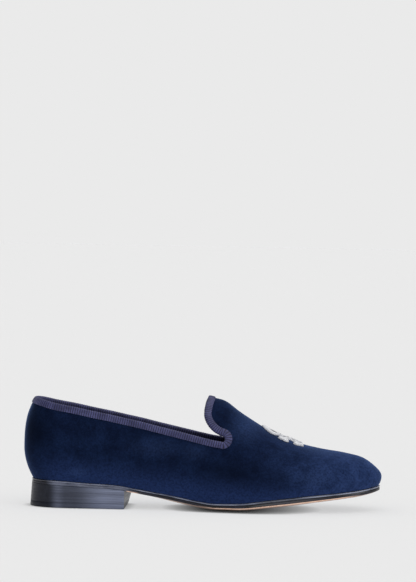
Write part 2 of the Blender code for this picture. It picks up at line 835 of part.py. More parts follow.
def vamp_layer(name, finish, centre, reach_x, reach_y, step):
    """Curved plate that follows the vamp at the stitches' height over the velvet."""
    xs = np.linspace(centre - reach_x, centre + reach_x, 2 * round(reach_x / step) + 1)
    ys = np.linspace(-reach_y, reach_y, 2 * round(reach_y / step) + 1) + RIDGE_OFFSET
    x, y = np.meshgrid(xs, ys, indexing="ij")
    foot = np.stack([x, y, vamp_height(x, y)], axis=-1)
    normal = vamp_normal(x, y)
    low = place(foot + normal * GAP)
    high = place(foot + normal * (GAP + EMBROIDERY_THICKNESS))
    builder = Builder()
    for sheet in (low, high):
        for first, second in zip(sheet, sheet[1:]):
            builder.strip(first, second)
    for edge in (np.s_[0], np.s_[-1], np.s_[:, 0], np.s_[:, -1]):
        builder.strip(low[edge], high[edge])
    return builder.object(name, finish, 40.0)


def upright_prism(name, outline):
    """Cutter that stands on the vamp, with an outline seen from above."""
    mesh = bmesh.new()
    low = [mesh.verts.new((x - HEEL_AXIS, y, 0.0)) for x, y in outline]
    high = [mesh.verts.new((x - HEEL_AXIS, y, INSTEP_HEIGHT)) for x, y in outline]
    mesh.faces.new(low)
    mesh.faces.new(high[::-1])
    for i in range(len(outline)):
        j = (i + 1) % len(outline)
        mesh.faces.new([low[j], low[i], high[i], high[j]])
    bmesh.ops.recalc_face_normals(mesh, faces=mesh.faces)
    data = bpy.data.meshes.new(name)
    mesh.to_mesh(data)
    mesh.free()
    cutter = bpy.data.objects.new(name, data)
    cutter.hide_render = True
    cutter.display_type = "WIRE"
    bpy.context.scene.collection.objects.link(cutter)
    return cutter


def star_outline(centre, radius, count):
    turns = [2.0 * math.pi * k / count for k in range(count)]
    return [(centre + radius(turn) * math.cos(turn),
             RIDGE_OFFSET + radius(turn) * math.sin(turn)) for turn in turns]


def cut_with(target, operation, cutter):
    cut = target.modifiers.new(cutter.name, "BOOLEAN")
    cut.operation = operation
    cut.object = cutter


def build_embroidery(thread):
    """Raised skull and crossed bones, cut from a layer that follows the vamp."""
    skull = vamp_layer(
        "skull_embroidery", thread, SKULL_AT,
        SKULL_LENGTH * 0.7, SKULL_WIDTH * 0.62, SKULL_GRID_STEP,
    )
    outline = star_outline(SKULL_AT, skull_radius, 32)
    cut_with(skull, "INTERSECT", upright_prism("skull outline cutter", outline))
    for sign in (-1.0, 1.0):
        eye_y = sign * 0.21 * SKULL_WIDTH
        eye = [(SKULL_AT + 0.08 * SKULL_LENGTH + EYE_RADIUS * math.cos(turn),
                RIDGE_OFFSET + eye_y + EYE_RADIUS * math.sin(turn))
               for turn in np.linspace(0.0, 2.0 * math.pi, 11)[:-1]]
        cut_with(skull, "DIFFERENCE", upright_prism("eye cutter", eye))
    reach_x = BONE_SPREAD + 2.2 * KNUCKLE_RADIUS
    reach_y = BONE_REACH + 2.2 * KNUCKLE_RADIUS
    bones = vamp_layer(
        "crossbones_embroidery", thread, BONES_AT, reach_x, reach_y, BONES_GRID_STEP,
    )
    outline = star_outline(BONES_AT, bones_radius, 72)
    cut_with(bones, "INTERSECT", upright_prism("bones outline cutter", outline))


def main():
    for item in list(bpy.data.objects):
        bpy.data.objects.remove(item, do_unlink=True)
    velvet = material("navy velvet", (0.010, 0.018, 0.052), 0.9)
    ribbed = material("navy ribbed ribbon", (0.045, 0.048, 0.115), 0.7)
    sole_leather = material("black edged sole leather", (0.055, 0.055, 0.065), 0.5)
    heel_leather = material("dark blue heel leather", (0.10, 0.11, 0.15), 0.42)
    rubber = material("dark heel rubber", (0.05, 0.055, 0.07), 0.55)
    sock = material("dark lining leather", (0.03, 0.03, 0.04), 0.6)
    thread = material("white embroidery thread", (0.80, 0.80, 0.82), 0.5)
    build_upper(velvet)
    build_binding(ribbed)
    build_slab("outsole", sole_leather, 0.0, sole_bottom, sole_top,
               (1.0, 0.72, SOLE_FLAT_SHARE, 0.0))
    insole_inset = FEATHER_STEP + WALL * WALL_FOOT_SHARE + 2.0 * GAP
    build_slab(
        "insole", sock, insole_inset,
        lambda x, out: sole_top(x, out) + GAP,
        lambda x, out: sole_top(x, out) + GAP + INSOLE_THICKNESS,
        (1.0, SOLE_FLAT_SHARE, 0.0),
    )
    build_heel(heel_leather, rubber)
    build_embroidery(thread)


main()
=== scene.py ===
"""Looks of a velvet slipper loafer, right shoe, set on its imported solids.

Metres, +Z up, toe along +X, lateral side towards -Y, as in the frame. The tables and
functions of the form are those of the solids' own source. Lengths called x or s are
measured from the heel's back, and place() moves them into the frame.
"""

import math

import bmesh
import bpy
import numpy as np
from mathutils import Matrix


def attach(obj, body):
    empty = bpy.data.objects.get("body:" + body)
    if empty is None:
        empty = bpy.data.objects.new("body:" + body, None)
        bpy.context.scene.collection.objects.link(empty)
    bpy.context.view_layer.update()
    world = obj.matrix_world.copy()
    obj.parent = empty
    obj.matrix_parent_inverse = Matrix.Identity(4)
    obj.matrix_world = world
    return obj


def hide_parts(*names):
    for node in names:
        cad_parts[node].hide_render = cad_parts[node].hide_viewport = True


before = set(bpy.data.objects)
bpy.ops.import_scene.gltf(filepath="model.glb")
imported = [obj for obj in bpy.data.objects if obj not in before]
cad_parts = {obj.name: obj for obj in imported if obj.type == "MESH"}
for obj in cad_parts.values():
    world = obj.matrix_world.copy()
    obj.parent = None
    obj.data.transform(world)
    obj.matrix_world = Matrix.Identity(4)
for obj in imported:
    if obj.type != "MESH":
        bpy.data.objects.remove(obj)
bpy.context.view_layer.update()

# Driving dimensions of the upper
UPPER_LENGTH = 0.297
BALL_WIDTH = 0.099
INSTEP_HEIGHT = 0.0915
BACK_HEIGHT = 0.0863
HEEL_AXIS = 0.036
TOE_AXIS = 0.205
RIDGE_OFFSET = 0.003
WALL = 0.0019
FEATHER_STEP = 0.0008

# Driving dimensions of the opening
NOTCH_FRONT = 0.1685
NOTCH_HEIGHT = 0.0599
NOTCH_RADIUS = 0.0048

# Driving dimensions of the ribbed collar binding
BINDING_DEPTH = 0.0037
BINDING_ROOF = 0.0023
BINDING_OUT = 0.0011
RIB_PITCH = 0.0019
RIB_HEIGHT = 0.00020

# Driving dimensions of the sole and heel
SOLE_THICKNESS = 0.0052
SEAT_THICKNESS = 0.0036
HEEL_HEIGHT = 0.0190
TOE_SPRING = 0.0148
SOLE_CROWN = 0.0031
INSOLE_THICKNESS = 0.0025
TOP_PIECE_THICKNESS = 0.0044
LIFT_COUNT = 3
HEEL_BREAST = 0.0843
BREAST_LEAD_TOP = 0.0070
BREAST_LEAD_BOTTOM = 0.0020
HEEL_SIDE_TAPER = 0.0016
HEEL_BACK_FLARE = 0.0012
GAP = 0.0003

# Driving dimensions of the embroidery on the vamp
SKULL_AT = 0.2049
SKULL_LENGTH = 0.0175
SKULL_WIDTH = 0.0238
EYE_RADIUS = 0.0023
BONES_AT = 0.2208
BONE_REACH = 0.0150
BONE_SPREAD = 0.0062
BONE_RADIUS = 0.0017
KNUCKLE_RADIUS = 0.0027

SAME_POINT = 0.00002

# Widest line seen from above: share of the upper's length, then half widths as
# shares of the ball width. The heel and toe are rounded off by a formula.
WIDEST_LINE = (
    ("along", "lateral", "medial"),
    (0.00, 0.318, 0.318),
    (0.12, 0.320, 0.318),
    (0.24, 0.330, 0.313),
    (0.34, 0.354, 0.320),
    (0.44, 0.408, 0.345),
    (0.54, 0.466, 0.398),
    (0.63, 0.508, 0.449),
    (0.70, 0.514, 0.478),
    (0.78, 0.512, 0.484),
    (1.00, 0.508, 0.480),
)

# Upright sections: height of the widest line and of the crown line as shares of
# the instep height, and how full the flank is.
SECTIONS = (
    ("along", "widest", "crown", "across", "flank"),
    (0.000, 0.540, 1.130, 2.00, 2.75),
    (0.055, 0.460, 1.230, 2.00, 2.40),
    (0.121, 0.370, 1.300, 2.00, 2.10),
    (0.236, 0.335, 1.230, 2.00, 1.90),
    (0.337, 0.295, 1.145, 2.00, 1.68),
    (0.438, 0.260, 1.052, 2.00, 1.48),
    (0.528, 0.240, 1.000, 2.00, 1.38),
    (0.560, 0.232, 0.972, 2.00, 1.38),
    (0.600, 0.226, 0.879, 2.00, 1.40),
    (0.645, 0.224, 0.785, 2.02, 1.48),
    (0.690, 0.228, 0.698, 2.06, 1.62),
    (0.740, 0.240, 0.631, 2.15, 1.85),
    (0.790, 0.256, 0.589, 2.25, 2.10),
    (0.840, 0.272, 0.569, 2.35, 2.30),
    (0.900, 0.290, 0.568, 2.40, 2.40),
    (0.960, 0.304, 0.560, 2.40, 2.40),
    (1.000, 0.312, 0.490, 2.40, 2.40),
)

# Sole edge: how far it lies inside the widest line, as shares of the ball width.
SOLE_INSET = (
    ("along", "lateral", "medial"),
    (0.00, 0.070, 0.070),
    (0.06, 0.050, 0.050),
    (0.12, 0.036, 0.037),
    (0.24, 0.034, 0.046),
    (0.34, 0.037, 0.070),
    (0.44, 0.034, 0.065),
    (0.54, 0.027, 0.040),
    (0.64, 0.022, 0.025),
    (0.75, 0.020, 0.020),
    (1.00, 0.012, 0.012),
)

# Middle of the sole's underside: behind the ball as shares of the heel height,
# ahead of it as shares of the toe spring, and flat on the floor between them.
UNDERSIDE_BACK = (
    ("along", "height"),
    (0.000, 1.010),
    (0.024, 1.005),
    (0.121, 0.962),
    (0.185, 0.902),
    (0.283, 0.797),
    (0.330, 0.645),
    (0.384, 0.443),
    (0.438, 0.252),
    (0.495, 0.078),
    (0.532, 0.000),
    (0.560, 0.000),
)
UNDERSIDE_FRONT = (
    ("along", "height"),
    (0.565, 0.000),
    (0.592, 0.000),
    (0.618, 0.022),
    (0.645, 0.078),
    (0.680, 0.163),
    (0.717, 0.245),
    (0.774, 0.380),
    (0.828, 0.510),
    (0.886, 0.645),
    (0.943, 0.790),
    (0.980, 0.920),
    (1.000, 1.000),
)

# Thickness of the sole's edge, as shares of the forepart's thickness, and how much
# of the crosswise roundness it has.
SOLE_EDGE = (
    ("along", "thickness", "roundness"),
    (0.30, 0.67, 0.00),
    (0.34, 0.66, 0.25),
    (0.40, 0.70, 0.72),
    (0.50, 0.72, 0.98),
    (0.56, 0.81, 1.00),
    (0.66, 1.00, 1.00),
    (0.78, 1.00, 1.00),
    (0.88, 0.84, 1.00),
    (1.00, 0.74, 1.00),
)

# Upper's edge along the quarters, as shares of the length and of the back height.
COLLAR_LINE = (
    ("along", "height"),
    (0.000, 1.033),
    (0.027, 1.023),
    (0.088, 0.975),
    (0.138, 0.945),
    (0.192, 0.907),
    (0.236, 0.879),
    (0.283, 0.845),
    (0.327, 0.814),
    (0.370, 0.779),
    (0.411, 0.747),
    (0.455, 0.712),
    (0.495, 0.680),
    (0.530, 0.655),
    (0.559, 0.640),
)

# Rear edge of the tab, from the notch up to the crown: share of the rise between
# them, and how far it lies behind the notch's front, as a share of the instep height.
TAB_EDGE = (
    ("rise", "back"),
    (0.15, 0.052),
    (0.20, 0.090),
    (0.31, 0.139),
    (0.43, 0.170),
    (0.58, 0.190),
    (0.76, 0.183),
    (0.90, 0.171),
    (1.00, 0.155),
)

# Roundness of the outline's ends seen from above
HEEL_ROUND = 2.15
TOE_ROUND = 1.95
ROUND_FROM = {"lateral": 0.62, "medial": 0.70}

SIDES = {"lateral": -1.0, "medial": 1.0}

# Soft hollows and swells of the velvet over the lasted form: the side, the place
# along and the height as shares of the upper's length and the instep height, their
# reach along and up in metres, how far they lean in degrees, and their depth in
# metres, negative where the velvet swells.
SOFT_FORMS = (
    ("lateral", 0.115, 0.62, 0.016, 0.020, 0.0, -0.00035),
    ("lateral", 0.235, 0.50, 0.020, 0.014, 25.0, 0.00045),
    ("lateral", 0.300, 0.33, 0.012, 0.009, 60.0, -0.00030),
    ("lateral", 0.400, 0.52, 0.026, 0.012, -15.0, 0.00050),
    ("lateral", 0.500, 0.40, 0.010, 0.022, -20.0, 0.00040),
    ("lateral", 0.560, 0.30, 0.016, 0.010, 10.0, -0.00035),
    ("lateral", 0.640, 0.42, 0.011, 0.018, -35.0, 0.00035),
    ("lateral", 0.720, 0.32, 0.016, 0.010, 0.0, -0.00025),
    ("lateral", 0.170, 0.36, 0.007, 0.006, 40.0, 0.00035),
    ("lateral", 0.262, 0.29, 0.006, 0.005, -30.0, 0.00040),
    ("lateral", 0.345, 0.21, 0.007, 0.005, 20.0, 0.00040),
    ("lateral", 0.455, 0.19, 0.006, 0.005, -25.0, 0.00035),
    ("medial", 0.180, 0.55, 0.022, 0.018, 10.0, 0.00045),
    ("medial", 0.330, 0.45, 0.022, 0.014, -20.0, 0.00050),
    ("medial", 0.470, 0.48, 0.014, 0.020, 15.0, 0.00045),
    ("medial", 0.600, 0.35, 0.016, 0.012, -10.0, -0.00035),
    ("medial", 0.700, 0.38, 0.012, 0.014, 30.0, 0.00035),
    ("medial", 0.290, 0.25, 0.007, 0.005, 35.0, 0.00035),
    ("medial", 0.400, 0.20, 0.007, 0.005, -20.0, 0.00040),
)
BACK_SEAM_WIDTH = 0.0009
BACK_SEAM_DEPTH = 0.00035


def column(table, name):
    """One named column of a table as an array."""
    index = table[0].index(name)
    return np.array([row[index] for row in table[1:]])


def smooth(table, name, at):
    """Smooth curve through a column of a table over its first one, flat beyond its ends."""
    keys = column(table, table[0][0])
    values = column(table, name)
    at = np.clip(np.asarray(at, dtype=float), keys[0], keys[-1])
    slopes = np.gradient(values, keys)
    cell = np.clip(np.searchsorted(keys, at, side="right") - 1, 0, len(keys) - 2)
    width = keys[cell + 1] - keys[cell]
    t = (at - keys[cell]) / width
    rest = 1.0 - t
    return (
        values[cell] * rest * rest * (1.0 + 2.0 * t)
        + values[cell + 1] * t * t * (3.0 - 2.0 * t)
        + slopes[cell] * width * t * rest * rest
        - slopes[cell + 1] * width * t * t * rest
    )


def unit(vectors):
    return vectors / np.linalg.norm(vectors, axis=-1, keepdims=True)


def ease(low, high, value):
    """0 below low, 1 above high, and a smooth rise between them."""
    t = np.clip((value - low) / (high - low), 0.0, 1.0)
    return t * t * (3.0 - 2.0 * t)


def half_width(side, x):
    """Half width of the widest line at a distance x from the heel's back."""
    share = np.clip(x / UPPER_LENGTH, 0.0, 1.0)
    width = smooth(WIDEST_LINE, side, share) * BALL_WIDTH
    back = np.clip(1.0 - x / HEEL_AXIS, 0.0, 1.0)
    start = ROUND_FROM[side]
    front = np.clip((share - start) / (1.0 - start), 0.0, 1.0)
    heel = (1.0 - back ** HEEL_ROUND) ** (1.0 / HEEL_ROUND)
    toe = (1.0 - front ** TOE_ROUND) ** (1.0 / TOE_ROUND)
    return width * heel * toe


def station_x(s):
    """Where a station's outline point lies: evenly spread round heel and toe."""
    heel = HEEL_AXIS * (1.0 - np.cos(0.5 * math.pi * np.clip(s / HEEL_AXIS, 0.0, 1.0)))
    span = UPPER_LENGTH - TOE_AXIS
    toe = TOE_AXIS + span * np.sin(0.5 * math.pi * np.clip((s - TOE_AXIS) / span, 0.0, 1.0))
    return np.where(s < HEEL_AXIS, heel, np.where(s > TOE_AXIS, toe, s))


def ridge_y(x):
    """Sideways place of the vamp's ridge, which leans to the medial side."""
    return RIDGE_OFFSET * ease(0.20, 0.55, x / UPPER_LENGTH)


def spokes(side, s, centred=False):
    """Outline point and centre of each station's upright section."""
    px = station_x(s)
    py = SIDES[side] * half_width(side, px)
    cx = np.clip(px, HEEL_AXIS, TOE_AXIS)
    cy = np.zeros_like(cx) if centred else ridge_y(cx)
    return px, py, cx, cy


def underside(x):
    """Height of the middle of the sole's underside."""
    share = np.asarray(x, dtype=float) / UPPER_LENGTH
    back = smooth(UNDERSIDE_BACK, "height", share) * HEEL_HEIGHT
    front = smooth(UNDERSIDE_FRONT, "height", share) * TOE_SPRING
    return np.maximum(back, 0.0) + np.maximum(front, 0.0)


def edge_thickness(x):
    """Thickness of the sole along its edge, which eases into the seat's."""
    share = x / UPPER_LENGTH
    fore = smooth(SOLE_EDGE, "thickness", share) * SOLE_THICKNESS
    blend = np.clip((share - 0.28) / 0.06, 0.0, 1.0)
    return SEAT_THICKNESS + (fore - SEAT_THICKNESS) * blend


def crosswise(x, out):
    """Rise of the sole from its flat middle to its edge; out runs from 0 to 1."""
    amount = smooth(SOLE_EDGE, "roundness", x / UPPER_LENGTH)
    reach = np.clip((out - 0.38) / 0.62, 0.0, 1.0)
    return SOLE_CROWN * amount * reach * reach * (1.6 - 0.6 * reach)


def sole_bottom(x, out):
    return underside(x) + crosswise(x, out)


def inset_share(side, px):
    return smooth(SOLE_INSET, side, px / UPPER_LENGTH) * BALL_WIDTH


def outline_point(side, s, inset):
    """Point of the outline moved towards its centre by the sole's inset and more."""
    px, py, cx, cy = spokes(side, s, centred=True)
    reach = np.hypot(px - cx, py - cy)
    keep = 1.0 - (inset_share(side, px) + inset) / reach
    return cx + (px - cx) * keep, cy + (py - cy) * keep


def section_values(px):
    share = px / UPPER_LENGTH
    widest = smooth(SECTIONS, "widest", share) * INSTEP_HEIGHT
    across = smooth(SECTIONS, "across", share)
    flank = smooth(SECTIONS, "flank", share)
    return widest, across, flank


def crown_height(x):
    return smooth(SECTIONS, "crown", x / UPPER_LENGTH) * INSTEP_HEIGHT


def flank_point(side, s, angle):
    """Upper's outer face above its widest line; angle runs from 0 to a right angle."""
    px, py, cx, cy = spokes(side, s)
    widest, across, flank = section_values(px)
    out = np.cos(angle) ** (2.0 / across)
    up = np.sin(angle) ** (2.0 / flank)
    x = cx + (px - cx) * out
    in_heel = px < HEEL_AXIS
    crown = crown_height(np.where(in_heel, px, x))
    return np.stack([x, cy + (py - cy) * out, widest + (crown - widest) * up], axis=-1)


def lower_point(side, s, t):
    """Upper's outer face from the feather line, t = 0, to the widest line, t = 1."""
    px, py, cx, cy = spokes(side, s)
    widest, _, _ = section_values(px)
    feather = sole_bottom(px, 1.0) + edge_thickness(px) + GAP
    inset = (inset_share(side, px) + FEATHER_STEP) * (1.0 - t) ** 2
    reach = np.hypot(px - cx, py - cy)
    keep = 1.0 - inset / reach
    z = feather + (widest - feather) * t
    return np.stack([cx + (px - cx) * keep, cy + (py - cy) * keep, z], axis=-1)


def outer_point(side, s, v):
    """Upper's outer face: v from 0 to 1 below the widest line, 1 to 2 above it."""
    s = np.asarray(s, dtype=float)
    v = np.asarray(v, dtype=float)
    low = lower_point(side, s, np.clip(v, 0.0, 1.0))
    high = flank_point(side, s, np.clip(v - 1.0, 0.0, 1.0) * 0.5 * math.pi)
    return np.where((v <= 1.0)[..., None], low, high)


def outward(side, s, v):
    """Unit normal of the outer face, from small steps along and up it."""
    small = 0.00002
    small_v = 0.001
    s_low = np.clip(s - small, 0.0, UPPER_LENGTH)
    s_high = np.clip(s + small, 0.0, UPPER_LENGTH)
    v_low = np.clip(v - small_v, 0.0, 2.0)
    v_high = np.clip(v + small_v, 0.0, 2.0)
    along = outer_point(side, s_high, v) - outer_point(side, s_low, v)
    up = outer_point(side, s, v_high) - outer_point(side, s, v_low)
    normal = np.cross(along, up) * -SIDES[side]
    crown = v >= 2.0 - small_v
    x = outer_point(side, s, v)[..., 0]
    slope = (crown_height(x + small) - crown_height(x - small)) / (2.0 * small)
    on_crown = np.stack([-slope, np.zeros_like(slope), np.ones_like(slope)], axis=-1)
    normal = np.where(crown[..., None], on_crown, normal)
    return unit(normal)


def collar_height(x):
    return smooth(COLLAR_LINE, "height", x / UPPER_LENGTH) * BACK_HEIGHT


def tab_x(z):
    """Rear edge of the tab at a height, behind the notch's front."""
    rise = (z - NOTCH_HEIGHT) / (INSTEP_HEIGHT - NOTCH_HEIGHT)
    return NOTCH_FRONT - smooth(TAB_EDGE, "back", rise) * INSTEP_HEIGHT


def level_at(side, s, z):
    """Value of v where the outer face reaches a height above the widest line."""
    s = np.asarray(s, dtype=float)
    px = station_x(s)
    widest, _, flank = section_values(px)
    v = np.full_like(px, 1.5)
    for _ in range(6):
        x = outer_point(side, s, v)[..., 0]
        crown = crown_height(np.where(px < HEEL_AXIS, px, x))
        up = np.clip((z(x) - widest) / (crown - widest), 0.0, 1.0)
        v = 1.0 + np.arcsin(up ** (0.5 * flank)) / (0.5 * math.pi)
    return v


# The notch's round end: where it meets the collar line and the tab, in degrees
NOTCH_FROM = -78.0
NOTCH_TO = 96.0
NOTCH_CENTRE = NOTCH_FRONT - NOTCH_RADIUS
COLLAR_END = NOTCH_CENTRE - 0.001


def notch_pairs(side, turns):
    """Points (s, v) of the notch's round end at turns in degrees."""
    x = NOTCH_CENTRE + NOTCH_RADIUS * np.cos(np.radians(turns))
    z = NOTCH_HEIGHT + NOTCH_RADIUS * np.sin(np.radians(turns))
    return x, level_at(side, x, lambda at: z)


def tab_pairs(side, v):
    """Points (s, v) of the tab's rear edge at values of v."""
    x = np.full_like(v, NOTCH_CENTRE - 0.010)
    for _ in range(20):
        x = tab_x(outer_point(side, x, v)[..., 2])
    return x, v


def place(points):
    """Points measured from the heel's back, moved so that the heel axis is the origin."""
    moved = np.array(points, dtype=float)
    moved[..., 0] -= HEEL_AXIS
    return moved


def resample(points, step):
    """Running length of a line at its points, and even steps along it."""
    run = np.concatenate([[0.0], np.cumsum(np.linalg.norm(np.diff(points, axis=0), axis=1))])
    count = max(2, round(run[-1] / step))
    return run, np.linspace(0.0, run[-1], count + 1)


def edge_line(side, step):
    """Upper's edge on one side at even steps, from the heel's back to the crown."""
    collar_s = np.linspace(0.0, COLLAR_END, 400)
    notch_s, notch_v = notch_pairs(side, np.linspace(NOTCH_FROM, NOTCH_TO, 60))
    tab_s, tab_v = tab_pairs(side, np.linspace(notch_v[-1], 2.0, 121)[1:])
    s = np.concatenate([collar_s, notch_s, tab_s])
    v = np.concatenate([level_at(side, collar_s, collar_height), notch_v, tab_v])
    run, even = resample(outer_point(side, s, v), step)
    return np.interp(even, run, s), np.interp(even, run, v)


class Mesh:
    """Gathers grids of points into one mesh, in which equal points are merged."""

    def __init__(self):
        self.points = []
        self.faces = []
        self.finishes = []
        self.values = {}
        self.count = 0

    def grid(self, points, finish=0, **values):
        """Adds a grid of points as quads; values are named numbers, one for each point."""
        rows, columns = points.shape[:2]
        index = np.arange(rows * columns).reshape(rows, columns) + self.count
        corners = [index[:-1, :-1], index[:-1, 1:], index[1:, 1:], index[1:, :-1]]
        faces = np.stack(corners, axis=-1).reshape(-1, 4)
        self.points.append(points.reshape(-1, 3))
        self.faces.append(faces)
        self.finishes.append(np.full(len(faces), finish))
        for name, value in values.items():
            whole = np.broadcast_to(value, (rows, columns)).reshape(-1)
            self.values.setdefault(name, []).append((self.count, whole))
        self.count += rows * columns

    def rim(self, first, second):
        self.grid(np.stack([first, second]))

    def object(self, name, materials, sharp_angle=40.0):
        """Makes the object; edges turned by more than an angle in degrees stay sharp."""
        data = bpy.data.meshes.new(name)
        data.from_pydata(np.concatenate(self.points), [], np.concatenate(self.faces))
        data.polygons.foreach_set("material_index", np.concatenate(self.finishes))
        for value_name, parts in self.values.items():
            whole = np.zeros(self.count, dtype=np.float32)
            for start, part in parts:
                whole[start:start + len(part)] = part
            layer = data.attributes.new(value_name, "FLOAT", "POINT")
            layer.data.foreach_set("value", whole)
        mesh = bmesh.new()
        mesh.from_mesh(data)
        bmesh.ops.remove_doubles(mesh, verts=mesh.verts, dist=SAME_POINT)
        bmesh.ops.recalc_face_normals(mesh, faces=mesh.faces)
        mesh.to_mesh(data)
        mesh.free()
        data.shade_smooth()
        data.set_sharp_from_angle(angle=math.radians(sharp_angle))
        for item in materials:
            data.materials.append(item)
        made = bpy.data.objects.new(name, data)
        bpy.context.scene.collection.objects.link(made)
        return made


def dress(piece, slot, *nodes):
    """Makes a piece ride on the shoe, in place of solids. Its slot is not used."""
    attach(piece, "root")
    if nodes:
        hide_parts(*nodes)


def soften(side, points, normals, reach):
    """Moves points of the upper by its soft hollows, swells and back seam."""
    depth = np.zeros(points.shape[:-1])
    for form_side, along, up, reach_along, reach_up, lean, amount in SOFT_FORMS:
        if form_side != side:
            continue
        dx = points[..., 0] - along * UPPER_LENGTH
        dz = points[..., 2] - up * INSTEP_HEIGHT
        turn = math.radians(lean)
        u = (dx * math.cos(turn) + dz * math.sin(turn)) / reach_along
        w = (dz * math.cos(turn) - dx * math.sin(turn)) / reach_up
        depth += amount * np.exp(-u * u - w * w)
    from_seam = np.abs(points[..., 1]) / BACK_SEAM_WIDTH
    at_back = points[..., 0] < 0.5 * HEEL_AXIS
    depth += np.where(at_back, BACK_SEAM_DEPTH * np.exp(-from_seam * from_seam), 0.0)
    return points - normals * (depth * reach)[..., None]


# Grid of the upper: how much denser it is round the heel and the toe, where its even
# columns start ahead of the notch, columns over the tab, and the heights that are
# divided into rows below the widest line, up to the opening and up the tab
HEEL_DENSITY = 1.4
TOE_DENSITY = 1.15
VAMP_FROM = NOTCH_FRONT + 0.006
TAB_COLUMNS = 11
LOW_HEIGHT = 0.018
WALL_HEIGHT = 0.060
TAB_HEIGHT = 0.042


def upper_stations(step):
    """Stations of one side behind the notch's front, and those of the vamp ahead."""
    heel = np.linspace(0.0, HEEL_AXIS, round(HEEL_DENSITY * HEEL_AXIS / step) + 1)
    collar = np.linspace(HEEL_AXIS, COLLAR_END, round((COLLAR_END - HEEL_AXIS) / step) + 1)[1:]
    front = NOTCH_CENTRE + NOTCH_RADIUS * np.cos(np.radians(np.linspace(NOTCH_FROM, 0.0, 11)))
    quarters = np.concatenate([heel, collar, front])
    middle = np.linspace(VAMP_FROM, TOE_AXIS, round((TOE_AXIS - VAMP_FROM) / step) + 1)[1:]
    toe_count = round(TOE_DENSITY * (UPPER_LENGTH - TOE_AXIS) / step)
    toe = np.linspace(TOE_AXIS, UPPER_LENGTH, toe_count + 1)[1:]
    return quarters, np.concatenate([middle, toe])


def opening_level(side, quarters):
    """Value of v at the opening's lower edge over each station behind the notch's front."""
    x, v = notch_pairs(side, np.linspace(NOTCH_FROM, 0.0, 41))
    collar_s = np.linspace(0.0, COLLAR_END, 300)
    s = np.concatenate([collar_s, x])
    return np.interp(quarters, s, np.concatenate([level_at(side, collar_s, collar_height), v]))


def upper_patches(side, step):
    """Grids of (s, v) that cover one side: the band below the opening, and the vamp."""
    quarters, vamp = upper_stations(step)
    tab = np.linspace(0.0, 1.0, TAB_COLUMNS)
    split = opening_level(side, np.array([NOTCH_FRONT]))[0]
    ahead = np.concatenate([NOTCH_FRONT + (VAMP_FROM - NOTCH_FRONT) * tab[1:], vamp])
    band_s = np.concatenate([quarters, ahead])
    top = np.concatenate([opening_level(side, quarters), np.full(len(ahead), split)])
    low_count = round(LOW_HEIGHT / step)
    up_count = round(WALL_HEIGHT / step)
    low = [np.full(len(band_s), k / low_count) for k in range(low_count)]
    wall = [1.0 + (top - 1.0) * k / up_count for k in range(up_count + 1)]
    band_v = np.array(low + wall)
    band = (np.broadcast_to(band_s, band_v.shape), band_v)
    arc_s, arc_v = notch_pairs(side, np.linspace(0.0, NOTCH_TO, 9))
    tab_s, tab_v = tab_pairs(side, np.linspace(arc_v[-1], 2.0, round(TAB_HEIGHT / step) + 1)[1:])
    start = np.concatenate([arc_s, tab_s])
    rows_v = np.concatenate([arc_v, tab_v])
    columns = [start + (VAMP_FROM - start) * u for u in tab]
    columns += [np.full(len(start), s) for s in vamp]
    vamp_s = np.array(columns).T
    vamp_v = np.broadcast_to(rows_v[:, None], vamp_s.shape)
    return band, (vamp_s, vamp_v)


def upper_shell(name, finish, shallow, deep, step, softness):
    """Closed shell of the upper between two depths under its outer face."""
    mesh = Mesh()
    for side in SIDES:
        skins = []
        for depth in (shallow, deep):
            grids = []
            for s, v in upper_patches(side, step):
                normal = outward(side, s, v)
                points = soften(side, outer_point(side, s, v), normal, softness)
                foot = np.stack([normal[..., 0], normal[..., 1], np.zeros_like(v)], axis=-1)
                direction = np.where((v <= 0.0)[..., None], unit(foot), normal)
                grids.append(place(points - direction * depth))
                mesh.grid(grids[-1])
            skins.append(grids)
        (band_out, vamp_out), (band_in, vamp_in) = skins
        behind = band_out.shape[1] - vamp_out.shape[1] + 1
        mesh.rim(band_out[0], band_in[0])
        mesh.rim(band_out[-1, :behind], band_in[-1, :behind])
        mesh.rim(vamp_out[:, 0], vamp_in[:, 0])
    return mesh.object(name, [finish])


def smoothed(values, count):
    """Running mean of a line of points, whose ends stay where they are."""
    for _ in range(count):
        inner = 0.25 * values[:-2] + 0.5 * values[1:-1] + 0.25 * values[2:]
        values = np.concatenate([values[:1], inner, values[-1:]])
    return values


def walk(side, s, v, direction, distance):
    """Moves points over the outer face by a distance along directions in space."""
    small_s = 0.00002
    small_v = 0.0005
    paces = 3
    for _ in range(paces):
        v_low = v - small_v
        v_high = np.minimum(v + small_v, 2.0)
        along = outer_point(side, s + small_s, v) - outer_point(side, s - small_s, v)
        along /= 2.0 * small_s
        up = outer_point(side, s, v_high) - outer_point(side, s, v_low)
        up /= (v_high - v_low)[..., None]
        aa, au, uu = ((a * b).sum(-1) for a, b in ((along, along), (along, up), (up, up)))
        da, du = ((direction * a).sum(-1) for a in (along, up))
        both = aa * uu - au * au
        s = s + (da * uu - du * au) / both * distance / paces
        v = np.minimum(v + (du * aa - da * au) / both * distance / paces, 2.0)
    return s, v


# Folded ribbon: step along it, steps down its depth, how far its lower edge is drawn
# in, how far its back lies off the upper, the turns of its roof in degrees, and how
# full its ribs and its roof are, as powers below 1
BINDING_STEP = 0.00032
DEPTH_STEPS = 6
EDGE_DRAWN_IN = 0.00045
RIBBON_BACK = 0.00005
ROOF_TURNS = (22.0, 45.0, 67.0, 90.0, 113.0, 135.0, 158.0)
RIB_FULLNESS = 0.7
ROOF_FULLNESS = 0.75


